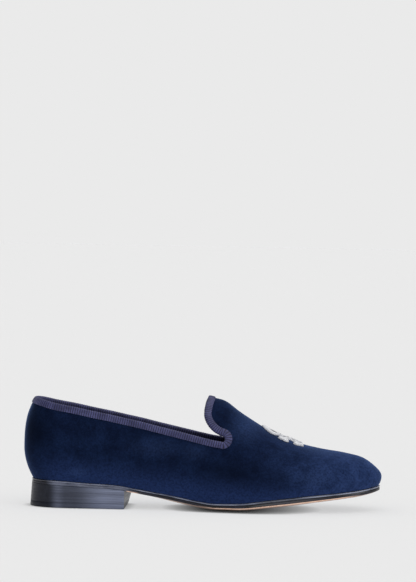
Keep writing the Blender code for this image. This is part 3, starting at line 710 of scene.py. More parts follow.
def binding_side(side, ribs):
    """Sections of the folded ribbon along one side, and the height of its ribs."""
    s, v = edge_line(side, BINDING_STEP)
    top = outer_point(side, s, v)
    tangent = np.gradient(top, axis=0)
    tangent[0] = tangent[-1] = (0.0, 1.0, 0.0)
    tangent[0] *= np.sign(tangent[1, 1])
    tangent[-1] *= np.sign(tangent[-2, 1])
    tangent = smoothed(unit(tangent), 10)
    normal = outward(side, s, v)
    inward = unit(np.cross(tangent, normal) * -SIDES[side])
    rib = np.abs(np.sin(math.pi * np.linspace(0.0, ribs, len(s)))) ** RIB_FULLNESS
    bump = (RIB_HEIGHT * (rib - 1.0))[:, None]
    outer_side = []
    inner_side = []
    s_down, v_down = s, v
    for k in range(DEPTH_STEPS + 1):
        skin = outer_point(side, s_down, v_down)
        face = outward(side, s_down, v_down)
        lift = BINDING_OUT - EDGE_DRAWN_IN * (k / DEPTH_STEPS) ** 6
        outer_side.append(skin + face * (lift + bump))
        inner_side.append(skin - face * (WALL + lift + bump))
        s_down, v_down = walk(side, s_down, v_down, inward, BINDING_DEPTH / DEPTH_STEPS)
    under_out = skin + face * RIBBON_BACK
    under_in = skin - face * (WALL + RIBBON_BACK)
    middle = top - normal * 0.5 * WALL
    half = 0.5 * WALL + BINDING_OUT
    roof = []
    for turn in np.radians(ROOF_TURNS):
        out = math.copysign(abs(math.cos(turn)) ** ROOF_FULLNESS, math.cos(turn))
        up = math.sin(turn) ** ROOF_FULLNESS
        ray = normal * out * (half + bump) - inward * up * (BINDING_ROOF + bump)
        roof.append(middle + ray)
    inner_top = top - normal * (WALL + RIBBON_BACK)
    outer_top = top + normal * RIBBON_BACK
    ring = outer_side[::-1] + roof + inner_side + [under_in, inner_top, outer_top, under_out]
    return place(np.stack(ring, axis=1)), rib


def build_binding(finish):
    """Ribbed ribbon folded over the whole edge of the upper, as one closed loop."""
    mesh = Mesh()
    for side in SIDES:
        line = outer_point(side, *edge_line(side, BINDING_STEP))
        length = np.linalg.norm(np.diff(line, axis=0), axis=1).sum()
        ring, rib = binding_side(side, round(length / RIB_PITCH))
        mesh.grid(np.concatenate([ring, ring[:, :1]], axis=1), rib=rib[:, None])
    return mesh.object("binding_ribbon", [finish], 60.0)


# Profile of the sole's edge from its underside up: how far in, in metres, the share of the thickness,
# and its finish: 1 painted, 2 bare in places, 3 the bead, with its highlight painted on.
EDGE_PROFILE = (
    (0.00100, 0.00, 2),
    (0.00045, 0.04, 2),
    (0.00010, 0.12, 2),
    (0.00000, 0.21, 2),
    (0.00012, 0.23, 1),
    (0.00016, 0.42, 1),
    (0.00030, 0.60, 1),
    (0.00062, 0.68, 1),
    (0.00062, 0.71, 1),
    (0.00022, 0.75, 1),
    (0.00002, 0.82, 3),
    (0.00000, 0.88, 3),
    (0.00014, 0.95, 3),
    (0.00050, 0.99, 3),
    (0.00100, 1.00, 3),
)
# Closed channel under the sole that hides its stitches: how far in it lies, its half
# width and depth, and how far out it counts for the sole's crosswise roundness.
CHANNEL_INSET = 0.0042
CHANNEL_HALF = 0.0004
CHANNEL_DEPTH = 0.00018
CHANNEL_OUT = 0.9

# Padding of the sock: share of the way out, and its thickness there
SOCK_PROFILE = (
    (1.0, 0.0016), (0.985, 0.0022), (0.94, INSOLE_THICKNESS), (0.85, INSOLE_THICKNESS),
    (0.6, 0.0023), (0.38, 0.0022), (0.2, 0.0022), (0.0, 0.0022),
)


def stations_to(last, count):
    """Stations round the heel and then straight on to a last one."""
    heel = np.linspace(0.0, HEEL_AXIS, 41)
    return np.concatenate([heel, np.linspace(HEEL_AXIS, last, count)[1:]])


def sole_row(side, inset, out, share, rise=0.0, level=None):
    """Row of points round one side at a share of the sole's thickness, and a rise."""
    toe = np.linspace(TOE_AXIS, UPPER_LENGTH, 71)[1:]
    stations = np.concatenate([stations_to(TOE_AXIS, 111), toe])
    edge_x, edge_y = outline_point(side, stations, inset)
    cx = np.clip(station_x(stations), HEEL_AXIS, TOE_AXIS)
    x = cx + (edge_x - cx) * out
    z = sole_bottom(x, out if level is None else level) + edge_thickness(x) * share + rise
    return place(np.stack([x, edge_y * out, z], axis=-1))


def build_outsole(*finishes):
    """Leather sole with a painted edge, a bead at its top and bare leather below."""
    mesh = Mesh()
    first = EDGE_PROFILE[0][0]
    for side in SIDES:
        rows = [sole_row(side, inset, 1.0, share) for inset, share, _ in EDGE_PROFILE]
        for k, (_, _, finish) in enumerate(EDGE_PROFILE[1:]):
            mesh.grid(np.stack(rows[k:k + 2]), finish)
        under = [rows[0]]
        for offset, depth in ((-CHANNEL_HALF, 0.0), (0.0, CHANNEL_DEPTH), (CHANNEL_HALF, 0.0)):
            under.append(sole_row(side, CHANNEL_INSET + offset, 1.0, 0.0, depth, CHANNEL_OUT))
        under += [sole_row(side, first, out, 0.0) for out in (0.75, 0.6, 0.38, 0.2, 0.0)]
        mesh.grid(np.stack(under), 0)
        over = [sole_row(side, first, out, 1.0) for out in (0.85, 0.6, 0.38, 0.2, 0.0)]
        mesh.grid(np.stack([rows[-1]] + over), 1)
    sole = mesh.object("sole_with_painted_edge", finishes, 50.0)
    # The floor stays neutral, as in the photo, not tinted by the tan underside
    sole.visible_diffuse = False
    return sole


def build_sock(finish):
    """Padded sock inside the shoe, a little cupped towards its edge."""
    mesh = Mesh()
    inset = FEATHER_STEP + WALL * 1.1 + 2.0 * GAP
    for side in SIDES:
        low = [sole_row(side, inset, out, 1.0, GAP) for out in (1.0, 0.7, 0.38, 0.0)]
        high = [sole_row(side, inset, out, 1.0, GAP + rise) for out, rise in SOCK_PROFILE]
        mesh.grid(np.stack(low))
        mesh.grid(np.stack(high))
        mesh.rim(low[0], high[0])
    return mesh.object("sock_lining", [finish], 50.0)


def heel_inset(stations, height):
    """How far the heel's side lies inside the sole's edge at a height."""
    down = 1.0 - height / HEEL_HEIGHT
    turn = 0.5 * math.pi * np.clip(stations / HEEL_AXIS, 0.0, 1.0)
    return down * (HEEL_SIDE_TAPER * np.sin(turn) - HEEL_BACK_FLARE * np.cos(turn))


def breast_lead(height):
    """How far the breast's medial corner leads the lateral one at a height."""
    return BREAST_LEAD_BOTTOM + (BREAST_LEAD_TOP - BREAST_LEAD_BOTTOM) * height / HEEL_HEIGHT


def heel_ring(level, groove):
    """Lateral and medial edges of the heel on a level, drawn in by a groove's depth."""
    lead = breast_lead(float(level(np.array(HEEL_BREAST))))
    edges = []
    for side, last in (("lateral", HEEL_BREAST), ("medial", HEEL_BREAST + lead)):
        stations = stations_to(last - groove, 25)
        px = station_x(stations)
        x, y = outline_point(side, stations, heel_inset(stations, level(px)) + groove)
        edges.append(place(np.stack([x, y, level(px)], axis=-1)))
    return edges


def heel_body(name, finish, levels):
    """Solid of the heel from levels, each a height function and a groove's depth."""
    mesh = Mesh()
    rings = [heel_ring(level, groove) for level, groove in levels]
    for edge in (0, 1):
        mesh.grid(np.stack([ring[edge] for ring in rings]))
    across = np.linspace(0.0, 1.0, 13)[:, None]
    mesh.grid(np.stack([ring[0][-1] * (1.0 - across) + ring[1][-1] * across for ring in rings]))
    for ring, (level, _) in ((rings[0], levels[0]), (rings[-1], levels[-1])):
        cap = np.stack([ring[0] * (1.0 - t) + ring[1] * t for t in across[:, 0]])
        cap[..., 2] = level(cap[..., 0] + HEEL_AXIS)
        mesh.grid(cap)
    return mesh.object(name, [finish], 30.0)


def heel_level(share):
    """Level in the heel: 0 is the top piece's upper side, 1 is the sole's underside."""
    return lambda x: TOP_PIECE_THICKNESS + (underside(x) - TOP_PIECE_THICKNESS) * share


# Depth of the fine grooves between the heel's lifts
LIFT_GROOVE = 0.00006
# Rounded edges of the heel's top piece: height and how far in
TOP_PIECE_PROFILE = (
    (0.0, 0.0005), (0.0003, 0.0001), (0.0008, 0.0), (0.0022, 0.0),
    (TOP_PIECE_THICKNESS - 0.0004, 0.0), (TOP_PIECE_THICKNESS - 0.0001, 0.00014),
)


def build_heel(leather, rubber):
    """Stacked leather heel with fine grooves between its lifts, and its top piece."""
    levels = []
    for k in range(LIFT_COUNT):
        levels.append((heel_level(k / LIFT_COUNT), LIFT_GROOVE))
        for share in np.linspace((k + 0.02) / LIFT_COUNT, (k + 0.98) / LIFT_COUNT, 7):
            levels.append((heel_level(share), 0.0))
    levels.append((heel_level(0.999), LIFT_GROOVE))
    top = [(lambda x, height=height: height + 0.0 * np.asarray(x), inset)
           for height, inset in TOP_PIECE_PROFILE]
    stack = heel_body("heel_stack", leather, levels)
    return stack, heel_body("heel_top_layer", rubber, top)


def toe_station(side, x, y):
    """Station whose section passes through a point of the vamp ahead of the toe axis."""
    stations = np.linspace(TOE_AXIS, UPPER_LENGTH, 200)
    px, py, cx, cy = spokes(side, stations)
    turns = np.arctan2(SIDES[side] * (py - cy), px - cx)
    turn = np.arctan2(SIDES[side] * (y - cy[0]), x - TOE_AXIS)
    return np.interp(turn, turns[::-1], stations[::-1])


def vamp_height(x, y):
    """Height of the upper's outer face over a point near the ridge of the vamp."""
    height = np.zeros_like(x)
    for side, sign in SIDES.items():
        s = np.where(x > TOE_AXIS, toe_station(side, x, y), x)
        px, py, cx, cy = spokes(side, s)
        out = np.hypot(x - cx, y - cy) / np.hypot(px - cx, py - cy)
        widest, across, flank = section_values(px)
        up = (1.0 - np.clip(out, 0.0, 1.0) ** across) ** (1.0 / flank)
        here = widest + (crown_height(x) - widest) * up
        height = np.where(sign * (y - cy) >= 0.0, here, height)
    return height


def vamp_normal(x, y):
    small = 0.0002
    dx = (vamp_height(x + small, y) - vamp_height(x - small, y)) / (2.0 * small)
    dy = (vamp_height(x, y + small) - vamp_height(x, y - small)) / (2.0 * small)
    normal = np.stack([-dx, -dy, np.ones_like(dx)], axis=-1)
    return unit(normal)


def on_vamp(x, y, rise):
    """Points over the vamp at a rise above the velvet; y is from the ridge."""
    y = y + RIDGE_OFFSET
    foot = np.stack([x, y, vamp_height(x, y)], axis=-1)
    return place(foot + vamp_normal(x, y) * rise[..., None])


# Satin stitches: pitch and ridge of their threads, rise over the velvet, the rise at
# their ends, how far the rounding reaches, the rise of their foot, how deep the dark
# ones sink, and the grid's step
THREAD_PITCH = 0.00048
THREAD_RIDGE = 0.00011
STITCH_RISE = 0.00190
STITCH_EDGE = 0.00012
STITCH_ROUND = 0.0011
STITCH_FOOT = 0.00002
INK_DEPTH = 0.00030
STITCH_STEP = 0.00012


def evenly(half):
    """Places at the stitches' step from minus a half to plus a half."""
    return np.linspace(-half, half, round(2.0 * half / STITCH_STEP) + 1)


def satin(mesh, across, low, high, to_xy, steps, lift=None, ink=None):
    """Patch of satin stitches: one thread runs from low to high at each place across."""
    share = np.linspace(0.0, 1.0, steps + 1)
    along = low[:, None] + (high - low)[:, None] * share
    side = across[:, None] + 0.0 * along
    x, y = to_xy(side, along)
    from_end = np.minimum(along - low[:, None], high[:, None] - along)
    from_side = np.minimum(side - across[0], across[-1] - side)
    reach = min(STITCH_ROUND, 0.5 * (across[-1] - across[0]))
    edge = np.clip(np.minimum(from_end, from_side) / reach, 0.0, 1.0)
    round_off = np.sqrt(1.0 - (1.0 - edge) ** 2)
    ridge = THREAD_RIDGE * np.abs(np.sin(math.pi * side / THREAD_PITCH)) * edge ** 0.5
    rise = STITCH_EDGE + (STITCH_RISE - STITCH_EDGE) * round_off + ridge
    if lift is not None:
        rise = rise + lift(x, y)
    dark = np.zeros_like(x) if ink is None else ink(x, y)
    top = on_vamp(x, y, rise - INK_DEPTH * dark)
    foot = on_vamp(x, y, np.full_like(x, STITCH_FOOT))
    mesh.grid(top, ink=dark)
    mesh.grid(foot, ink=dark)
    for edge_of in (np.s_[0], np.s_[-1], np.s_[:, 0], np.s_[:, -1]):
        mesh.rim(top[edge_of], foot[edge_of])


# Outline threads: step along them, how far their twist runs for each radian, its depth
# as a share of the radius, and rise and radius of the skull's thread and of the bones'
CORD_STEP = 0.00016
TWIST_LENGTH = 0.00014
TWIST_DEPTH = 0.16
SKULL_CORD = (0.00050, 0.00044)
BONE_CORD = (0.00034, 0.00032)


def cord(mesh, x, y, rise, radius):
    """Twisted thread laid along a closed line on the vamp."""
    line = np.stack([np.append(x, x[0]), np.append(y, y[0])], axis=1)
    run, even = resample(line, CORD_STEP)
    x, y = (np.interp(even, run, values) for values in line.T)
    centre = on_vamp(x, y, np.full_like(x, rise))
    tangent = np.gradient(centre, axis=0)
    tangent[0] = tangent[-1] = tangent[0] + tangent[-1]
    up = vamp_normal(x, y + RIDGE_OFFSET)
    across = unit(np.cross(unit(tangent), up))
    ring = []
    for turn in np.linspace(0.0, 2.0 * math.pi, 9):
        twist = 1.0 + TWIST_DEPTH * np.sin(2.0 * turn + even / TWIST_LENGTH)
        ray = across * math.cos(turn) + up * math.sin(turn)
        ring.append(centre + ray * (radius * twist)[:, None])
    mesh.grid(np.stack(ring))


SKULL_BACK = 0.45 * SKULL_LENGTH
JAW_END = 0.55 * SKULL_LENGTH
JAW_HALF = 0.31 * SKULL_WIDTH
TOOTH_LINES = (-2, -1, 0, 1, 2)


def skull_extent(y):
    """Where the skull's outline starts and ends along the shoe, at a place across it."""
    share = np.clip(np.abs(y) / (0.5 * SKULL_WIDTH), 0.0, 1.0)
    roundness = np.sqrt(1.0 - share ** 2)
    jaw_share = np.clip(np.abs(y) / JAW_HALF, 0.0, 1.0)
    jaw = JAW_END * (1.0 - jaw_share ** 7) ** (1.0 / 7.0)
    cheek = 0.30 * SKULL_WIDTH * roundness ** 0.8
    return SKULL_AT - SKULL_BACK * roundness, SKULL_AT + np.maximum(cheek, jaw)


def disc(x, y, centre_x, centre_y, radius_x, radius_y, softness=0.18):
    """1 inside an oval, 0 outside, with a narrow soft edge."""
    reach = np.hypot((x - centre_x) / radius_x, (y - centre_y) / radius_y)
    return 1.0 - ease(1.0 - softness, 1.0 + softness, reach)


def skull_ink(x, y):
    """Dark parts of the skull: eye sockets, nose and the lines between its teeth."""
    ink = np.zeros_like(x)
    eye_x = SKULL_AT + 0.07 * SKULL_LENGTH
    nostril_x = SKULL_AT + 0.29 * SKULL_LENGTH
    for sign in (-1.0, 1.0):
        eye = disc(x, y, eye_x, sign * 0.21 * SKULL_WIDTH, 1.40 * EYE_RADIUS, 1.20 * EYE_RADIUS)
        nostril = disc(x, y, nostril_x, sign * 0.00055, 0.0013, 0.0007, 0.3)
        ink = np.maximum(ink, np.maximum(eye, nostril))
    in_mouth = ease(0.38, 0.42, (x - SKULL_AT) / SKULL_LENGTH)
    for k in TOOTH_LINES:
        line = 1.0 - ease(0.00010, 0.00030, np.abs(y - 0.32 * k * JAW_HALF))
        ink = np.maximum(ink, line * in_mouth)
    bar = 1.0 - ease(0.00010, 0.00032, np.abs(x - SKULL_AT - 0.40 * SKULL_LENGTH))
    return np.maximum(ink, bar * (np.abs(y) < 0.82 * JAW_HALF))


def build_skull(thread, outline_thread):
    """Skull of satin stitches, with a silver grey twisted thread round it."""
    mesh = Mesh()
    half = 0.5 * SKULL_WIDTH
    y = evenly(half)
    low, high = skull_extent(y)
    satin(mesh, y, low, high, lambda side, along: (along, side), 64, ink=skull_ink)
    ring = Mesh()
    back_y = -half * np.cos(np.linspace(0.0, math.pi, 161))
    front_y = back_y[::-1][1:-1]
    x = np.concatenate([skull_extent(back_y)[0], skull_extent(front_y)[1]])
    cord(ring, x, np.concatenate([back_y, front_y]), *SKULL_CORD)
    skull = mesh.object("skull_stitches", [thread], 70.0)
    return skull, ring.object("skull_outline_thread", [outline_thread], 70.0)


# The upper bone's lift over the lower one and its reach from the crossing
CROSSING_LIFT = 0.00055
CROSSING_REACH = 0.0045
# Dark line along a bone's shaft, partly dark stitches and partly painted shade by the crossing: place
# across it, and where it fades across and along
SHAFT_LINE_AT = 0.00045
SHAFT_LINE_ACROSS = (0.00022, 0.00050)
SHAFT_LINE_ALONG = (0.0075, 0.0105)


def build_bones(thread, outline_thread):
    """Two crossed bones of satin stitches, with a silver grey thread round each part."""
    mesh = Mesh()
    ring = Mesh()
    for order, spread in enumerate((-BONE_SPREAD, BONE_SPREAD)):
        length = math.hypot(spread, BONE_REACH)
        ux, uy = spread / length, BONE_REACH / length

        def to_xy(along, across, ux=ux, uy=uy):
            return BONES_AT + along * ux - across * uy, along * uy + across * ux

        def lift(x, y, order=order):
            from_cross = np.hypot(x - BONES_AT, y) / CROSSING_REACH
            return CROSSING_LIFT * order * np.exp(-from_cross ** 2)

        # Dark stitches with painted shade of the overlap, along the shaft by the crossing
        def ink(x, y, ux=ux, uy=uy):
            across = y * ux - (x - BONES_AT) * uy
            along = (x - BONES_AT) * ux + y * uy
            line = 1.0 - ease(*SHAFT_LINE_ACROSS, np.abs(across - SHAFT_LINE_AT))
            return line * (1.0 - ease(*SHAFT_LINE_ALONG, np.abs(along)))

        along = evenly(length)
        half = BONE_RADIUS * (0.80 + 0.35 * (np.abs(along) / length) ** 3)
        satin(mesh, along, -half, half, to_xy, 16, lift, ink)
        loop_along = np.concatenate([along, along[::-1]])
        loop_across = np.concatenate([half, -half[::-1]])
        x, y = to_xy(loop_along, loop_across)
        cord(ring, x[::6], y[::6], *BONE_CORD)
        radius = 0.92 * KNUCKLE_RADIUS
        side = evenly(radius)
        reach = np.sqrt(np.maximum(radius ** 2 - side ** 2, 1e-10))
        turns = np.linspace(0.0, 2.0 * math.pi, 41)[:-1]
        for end, turned in ((-1.0, -1.0), (-1.0, 1.0), (1.0, -1.0), (1.0, 1.0)):
            middle_along = end * (length + 0.1 * KNUCKLE_RADIUS)
            middle_across = turned * 0.72 * KNUCKLE_RADIUS

            def lobe_xy(a, b, to_xy=to_xy, along=middle_along, across=middle_across):
                return to_xy(a + along, b + across)

            satin(mesh, side, -reach, reach, lobe_xy, 16)
            cord(ring, *lobe_xy(radius * np.cos(turns), radius * np.sin(turns)), *BONE_CORD)
    bones = mesh.object("crossbones_stitches", [thread], 70.0)
    return bones, ring.object("crossbones_outline_thread", [outline_thread], 70.0)


# Materials

def enter(tree, made, inputs):
    """Gives a node's inputs their values, or links them to the sockets that feed them."""
    for name, value in inputs.items():
        if isinstance(value, bpy.types.NodeSocket):
            tree.links.new(value, made.inputs[name])
        else:
            made.inputs[name].default_value = value


def node(tree, kind, inputs=None, **settings):
    made = tree.nodes.new(kind)
    for name, value in settings.items():
        setattr(made, name, value)
    enter(tree, made, inputs or {})
    return made


def rgb(red, green, blue):
    """Linear colour from the values of a colour as it is seen on a screen."""
    def linear(value):
        value /= 255.0
        return value / 12.92 if value <= 0.04045 else ((value + 0.055) / 1.055) ** 2.4
    return (linear(red), linear(green), linear(blue), 1.0)


def pale(value):
    """Neutral colour of a brightness."""
    return (value, value, value, 1.0)


class Look:
    """Material in the making: its shader, its place on the object and its nodes."""

    def __init__(self, name, **constants):
        self.material = bpy.data.materials.new(name)
        self.material.use_nodes = True
        self.tree = self.material.node_tree
        self.shader = self.tree.nodes["Principled BSDF"]
        self.feed(**constants)
        self.at = self.node("ShaderNodeTexCoord").outputs["Object"]
        self.x, _, self.z = self.node("ShaderNodeSeparateXYZ", {0: self.at}).outputs

    def node(self, kind, inputs=None, **settings):
        return node(self.tree, kind, inputs, **settings)

    def feed(self, **inputs):
        """Sets or links the shader's inputs; an underscore stands for each space."""
        named = {name.replace("_", " "): value for name, value in inputs.items()}
        enter(self.tree, self.shader, named)

    def math(self, operation, first, second=0.0):
        made = self.node("ShaderNodeMath", {0: first, 1: second}, operation=operation)
        return made.outputs[0]

    def vector(self, operation, first, second=(0.0, 0.0, 0.0)):
        return self.node("ShaderNodeVectorMath", {0: first, 1: second}, operation=operation)

    def value(self, name):
        """Named number that the mesh carries."""
        return self.node("ShaderNodeAttribute", attribute_name=name).outputs["Fac"]

    def spread(self, value, low, high, to_low=0.0, to_high=1.0):
        """Maps a value's range to another one, with a smooth start and end."""
        made = self.node(
            "ShaderNodeMapRange",
            {"Value": value, "From Min": low, "From Max": high, "To Min": to_low, "To Max": to_high},
            interpolation_type="SMOOTHSTEP",
        )
        return made.outputs[0]

    def along(self, low, high, to_low=0.0, to_high=1.0):
        """The same for the place along the shoe, in metres from the heel axis."""
        return self.spread(self.x, low, high, to_low, to_high)

    def noise(self, scale, detail=2.0, roughness=0.5, stretch=(1.0, 1.0, 1.0)):
        at = self.vector("MULTIPLY", self.at, stretch).outputs[0]
        inputs = {"Vector": at, "Scale": scale, "Detail": detail, "Roughness": roughness}
        return self.node("ShaderNodeTexNoise", inputs).outputs[0]

    def mix(self, colour, *layers):
        """Colour under layers, each with the share that it covers and its own colour."""
        for share, over in layers:
            inputs = {0: share, 6: colour, 7: over}
            colour = self.node("ShaderNodeMix", inputs, data_type="RGBA").outputs[2]
        return colour

    def between(self, texture, first, second, low=0.3, high=0.7):
        """Colour that a texture mixes from two."""
        return self.mix(first, (self.spread(texture, low, high), second))

    def patches(self, ovals):
        """Strongest of several soft ovals, seen from the side."""
        total = 0.0
        for x, z, reach_x, reach_z, strength in ovals:
            moved = self.vector("ADD", self.at, (-x, 0.0, -z)).outputs[0]
            scale = (1.0 / reach_x, 0.0, 1.0 / reach_z)
            scaled = self.vector("MULTIPLY", moved, scale).outputs[0]
            reach = self.vector("LENGTH", scaled).outputs["Value"]
            total = self.math("MAXIMUM", total, self.spread(reach, 1.0, 0.0, 0.0, strength))
        return total

    def bump(self, height, distance, strength, **below):
        inputs = {"Height": height, "Distance": distance, "Strength": strength, **below}
        return self.node("ShaderNodeBump", inputs).outputs[0]

    def finish(self, colour, relief, depth, strength, rough=None):
        """Feeds the shader; rough is a texture and the range of roughness it gives."""
        self.feed(Base_Color=colour, Normal=self.bump(relief, depth, strength))
        if rough is not None:
            texture, low, high = rough
            self.feed(Roughness=self.spread(texture, 0.3, 0.7, low, high))
        return self.material


# Patches of painted shade, darker, and of painted sheen, lighter, on the velvet: place along and
# height in metres, reach along and up, and strength
VELVET_PAINTED_SHADE = (
    (-0.030, 0.064, 0.030, 0.034, 0.75),
    (0.134, 0.030, 0.036, 0.020, 0.62),
    (0.020, 0.036, 0.013, 0.012, 0.30),
    (0.176, 0.026, 0.015, 0.016, 0.30),
    (0.066, 0.034, 0.012, 0.010, 0.30),
)
VELVET_PAINTED_SHEEN = (
    (0.148, 0.070, 0.020, 0.020, 0.45),
    (0.074, 0.052, 0.034, 0.012, 0.22),
    (0.010, 0.030, 0.012, 0.006, 0.25),
    (0.105, 0.050, 0.018, 0.012, 0.20),
    (0.205, 0.030, 0.020, 0.010, 0.30),
)
# Rise of the band of painted light, the floor's bounce painted low on the velvet over the sole, for
# each metre towards the heel
BOUNCE_BAND_TILT = 0.11


def velvet_material():
    look = Look(
        "navy cotton velvet", Roughness=0.9, Specular_IOR_Level=0.02, Sheen_Weight=0.46,
        Sheen_Roughness=0.32, Sheen_Tint=(0.30, 0.48, 1.0, 1.0),
    )
    mottle = look.noise(75.0, 5.0, 0.72)
    brushed = look.noise(170.0, 3.0, 0.65, (1.0, 1.0, 1.8))
    pile = look.noise(640.0, 2.0, 0.7)
    rows = look.noise(420.0, 2.0, 0.6, (3.0, 3.0, 1.0))
    # Painted sheen: both velvet tones are painted lighter towards the toe, where the surface turns
    # away
    toe_sheen = look.along(0.142, 0.246)
    dark = look.mix(rgb(13, 22, 46), (toe_sheen, rgb(31, 47, 84)))
    light = look.mix(rgb(26, 42, 77), (toe_sheen, rgb(55, 75, 124)))
    # Painted light of the floor's bounce: a lighter band low on the velvet, fading behind the heel
    over_sole = look.math("ADD", look.z, look.math("MULTIPLY", look.x, BOUNCE_BAND_TILT))
    bounce_near_sole = look.spread(over_sole, 0.050, 0.027, 0.0, 0.66)
    ahead_of_heel = look.along(-0.026, -0.004, 0.15, 1.0)
    nap = look.mix(
        dark,
        (look.spread(mottle, 0.30, 0.72, 0.05, 0.80), light),
        (look.spread(brushed, 0.45, 0.75, 0.0, 0.35), light),
        # Painted shade: dark patches on the velvet
        (look.patches(VELVET_PAINTED_SHADE), rgb(7, 13, 28)),
        # Painted bounce light low on the velvet
        (look.math("MULTIPLY", bounce_near_sole, ahead_of_heel), rgb(40, 58, 104)),
        # Painted sheen: light patches on the velvet
        (look.patches(VELVET_PAINTED_SHEEN), rgb(56, 76, 122)),
        (look.spread(pile, 0.38, 0.66, 0.0, 0.42), rgb(9, 16, 34)),
    )
    soft = look.bump(mottle, 0.0004, 0.4)
    furrows = look.bump(rows, 0.00018, 0.5, Normal=soft)
    look.feed(Base_Color=nap, Normal=look.bump(pile, 0.00022, 0.7, Normal=furrows))
    return look.material


def ribbon_material():
    look = Look(
        "ribbed grosgrain ribbon", Roughness=0.62, Specular_IOR_Level=0.35,
        Sheen_Weight=0.12, Sheen_Roughness=0.4,
    )
    thread = look.noise(1500.0, 2.0, 0.6)
    ridge = look.between(look.noise(130.0), rgb(60, 62, 106), rgb(86, 88, 138))
    # Painted shade in the gaps between the ribs: the colour is darkest where the rib is low
    colour = look.mix(
        rgb(22, 22, 46),
        (look.spread(look.value("rib"), 0.25, 0.9), ridge),
        (look.spread(thread, 0.4, 0.75, 0.0, 0.4), rgb(30, 31, 60)),
    )
    return look.finish(colour, thread, 0.00010, 0.6)


def lining_material(name, dark, light):
    look = Look(name, Roughness=0.55, Specular_IOR_Level=0.35)
    grain = look.node("ShaderNodeTexVoronoi", {"Vector": look.at, "Scale": 620.0}, feature="SMOOTH_F1")
    cloudy = look.noise(60.0, 3.0)
    colour = look.between(cloudy, dark, light)
    return look.finish(colour, grain.outputs["Distance"], 0.00012, 0.5, (cloudy, 0.48, 0.62))


def sole_leather_material():
    look = Look("bare sole leather", Specular_IOR_Level=0.4)
    fibre = look.noise(260.0, 5.0, 0.65)
    colour = look.between(look.noise(28.0, 3.0), rgb(176, 146, 132), rgb(200, 170, 156))
    colour = look.mix(colour, (look.spread(fibre, 0.4, 0.75, 0.0, 0.35), rgb(140, 112, 100)))
    return look.finish(colour, fibre, 0.00008, 0.5, (fibre, 0.42, 0.6))


# Place of the heel's breast, measured from the heel axis
BREAST_PLACE = HEEL_BREAST - HEEL_AXIS


def edge_paint(look):
    """Colour of the painted edge and its wear: round the heel seat lighter and greyer, worn paint with
    painted reflection in it, but dark at the round back.
    """
    worn = look.noise(300.0, 4.0, 0.6, (0.25, 0.25, 1.0))
    black = look.between(worn, rgb(14, 15, 25), rgb(33, 35, 52), 0.35)
    # Worn grey paint with painted reflection round the heel seat
    wear_and_painted_light = look.between(worn, rgb(78, 84, 104), rgb(122, 127, 148), 0.35)
    seat = look.mix(black, (look.along(-0.018, -0.009), wear_and_painted_light))
    return look.mix(black, (look.along(BREAST_PLACE + 0.014, BREAST_PLACE - 0.004), seat)), worn


def painted_edge_material():
    look = Look("painted sole edge", Specular_IOR_Level=0.45, Coat_Weight=0.25, Coat_Roughness=0.20)
    colour, worn = edge_paint(look)
    return look.finish(colour, worn, 0.00004, 0.4, (worn, 0.26, 0.40))


def bare_edge_material():
    """Lower corner of the sole: bare leather on the forepart and by the breast only."""
    look = Look("bare sole corner", Specular_IOR_Level=0.4)
    paint, worn = edge_paint(look)
    on_forepart = look.math("MULTIPLY", look.along(0.104, 0.130), look.along(0.246, 0.226))
    by_breast = look.math(
        "MULTIPLY",
        look.along(BREAST_PLACE + 0.001, BREAST_PLACE + 0.003),
        look.along(BREAST_PLACE + 0.014, BREAST_PLACE + 0.008),
    )
    fibre = look.noise(260.0, 4.0, 0.65)
    # Bare tan leather painted lighter than the same leather under the sole: painted light of the
    # floor's bounce
    tan = look.between(fibre, rgb(232, 190, 166), rgb(248, 214, 194), 0.35)
    colour = look.mix(paint, (look.math("MAXIMUM", on_forepart, by_breast), tan))
    return look.finish(colour, fibre, 0.00005, 0.4, (worn, 0.40, 0.55))


def bead_material():
    """Bead at the top of the sole's edge, painted lighter grey for its highlight, and dull, in painted
    shade, at the back and by the ball.
    """
    look = Look("rubbed sole bead", Specular_IOR_Level=0.7, Coat_Weight=0.6, Coat_Roughness=0.14)
    wear_and_painted_light = look.noise(260.0, 4.0, 0.65, (0.3, 0.3, 1.0))
    stretch = look.math("MULTIPLY", look.along(0.152, 0.164), look.along(0.204, 0.184))
    # Painted shade: the bead is left dark where no highlight is painted, at the back and on a stretch
    # by the ball
    unlit_bead = rgb(34, 37, 52)
    colour = look.mix(
        # Painted highlight: the bead's lighter grey
        look.between(wear_and_painted_light, rgb(90, 96, 118), rgb(150, 156, 178)),
        (look.along(-0.010, -0.018), unlit_bead),
        (look.math("MULTIPLY", stretch, 0.75), unlit_bead),
    )
    return look.finish(colour, wear_and_painted_light, 0.00004, 0.4, (wear_and_painted_light, 0.22, 0.36))


# Painted highlight: a narrow upright shine painted on the heel's side; place behind the heel axis and
# half width
HEEL_PAINTED_HIGHLIGHT = 0.0065


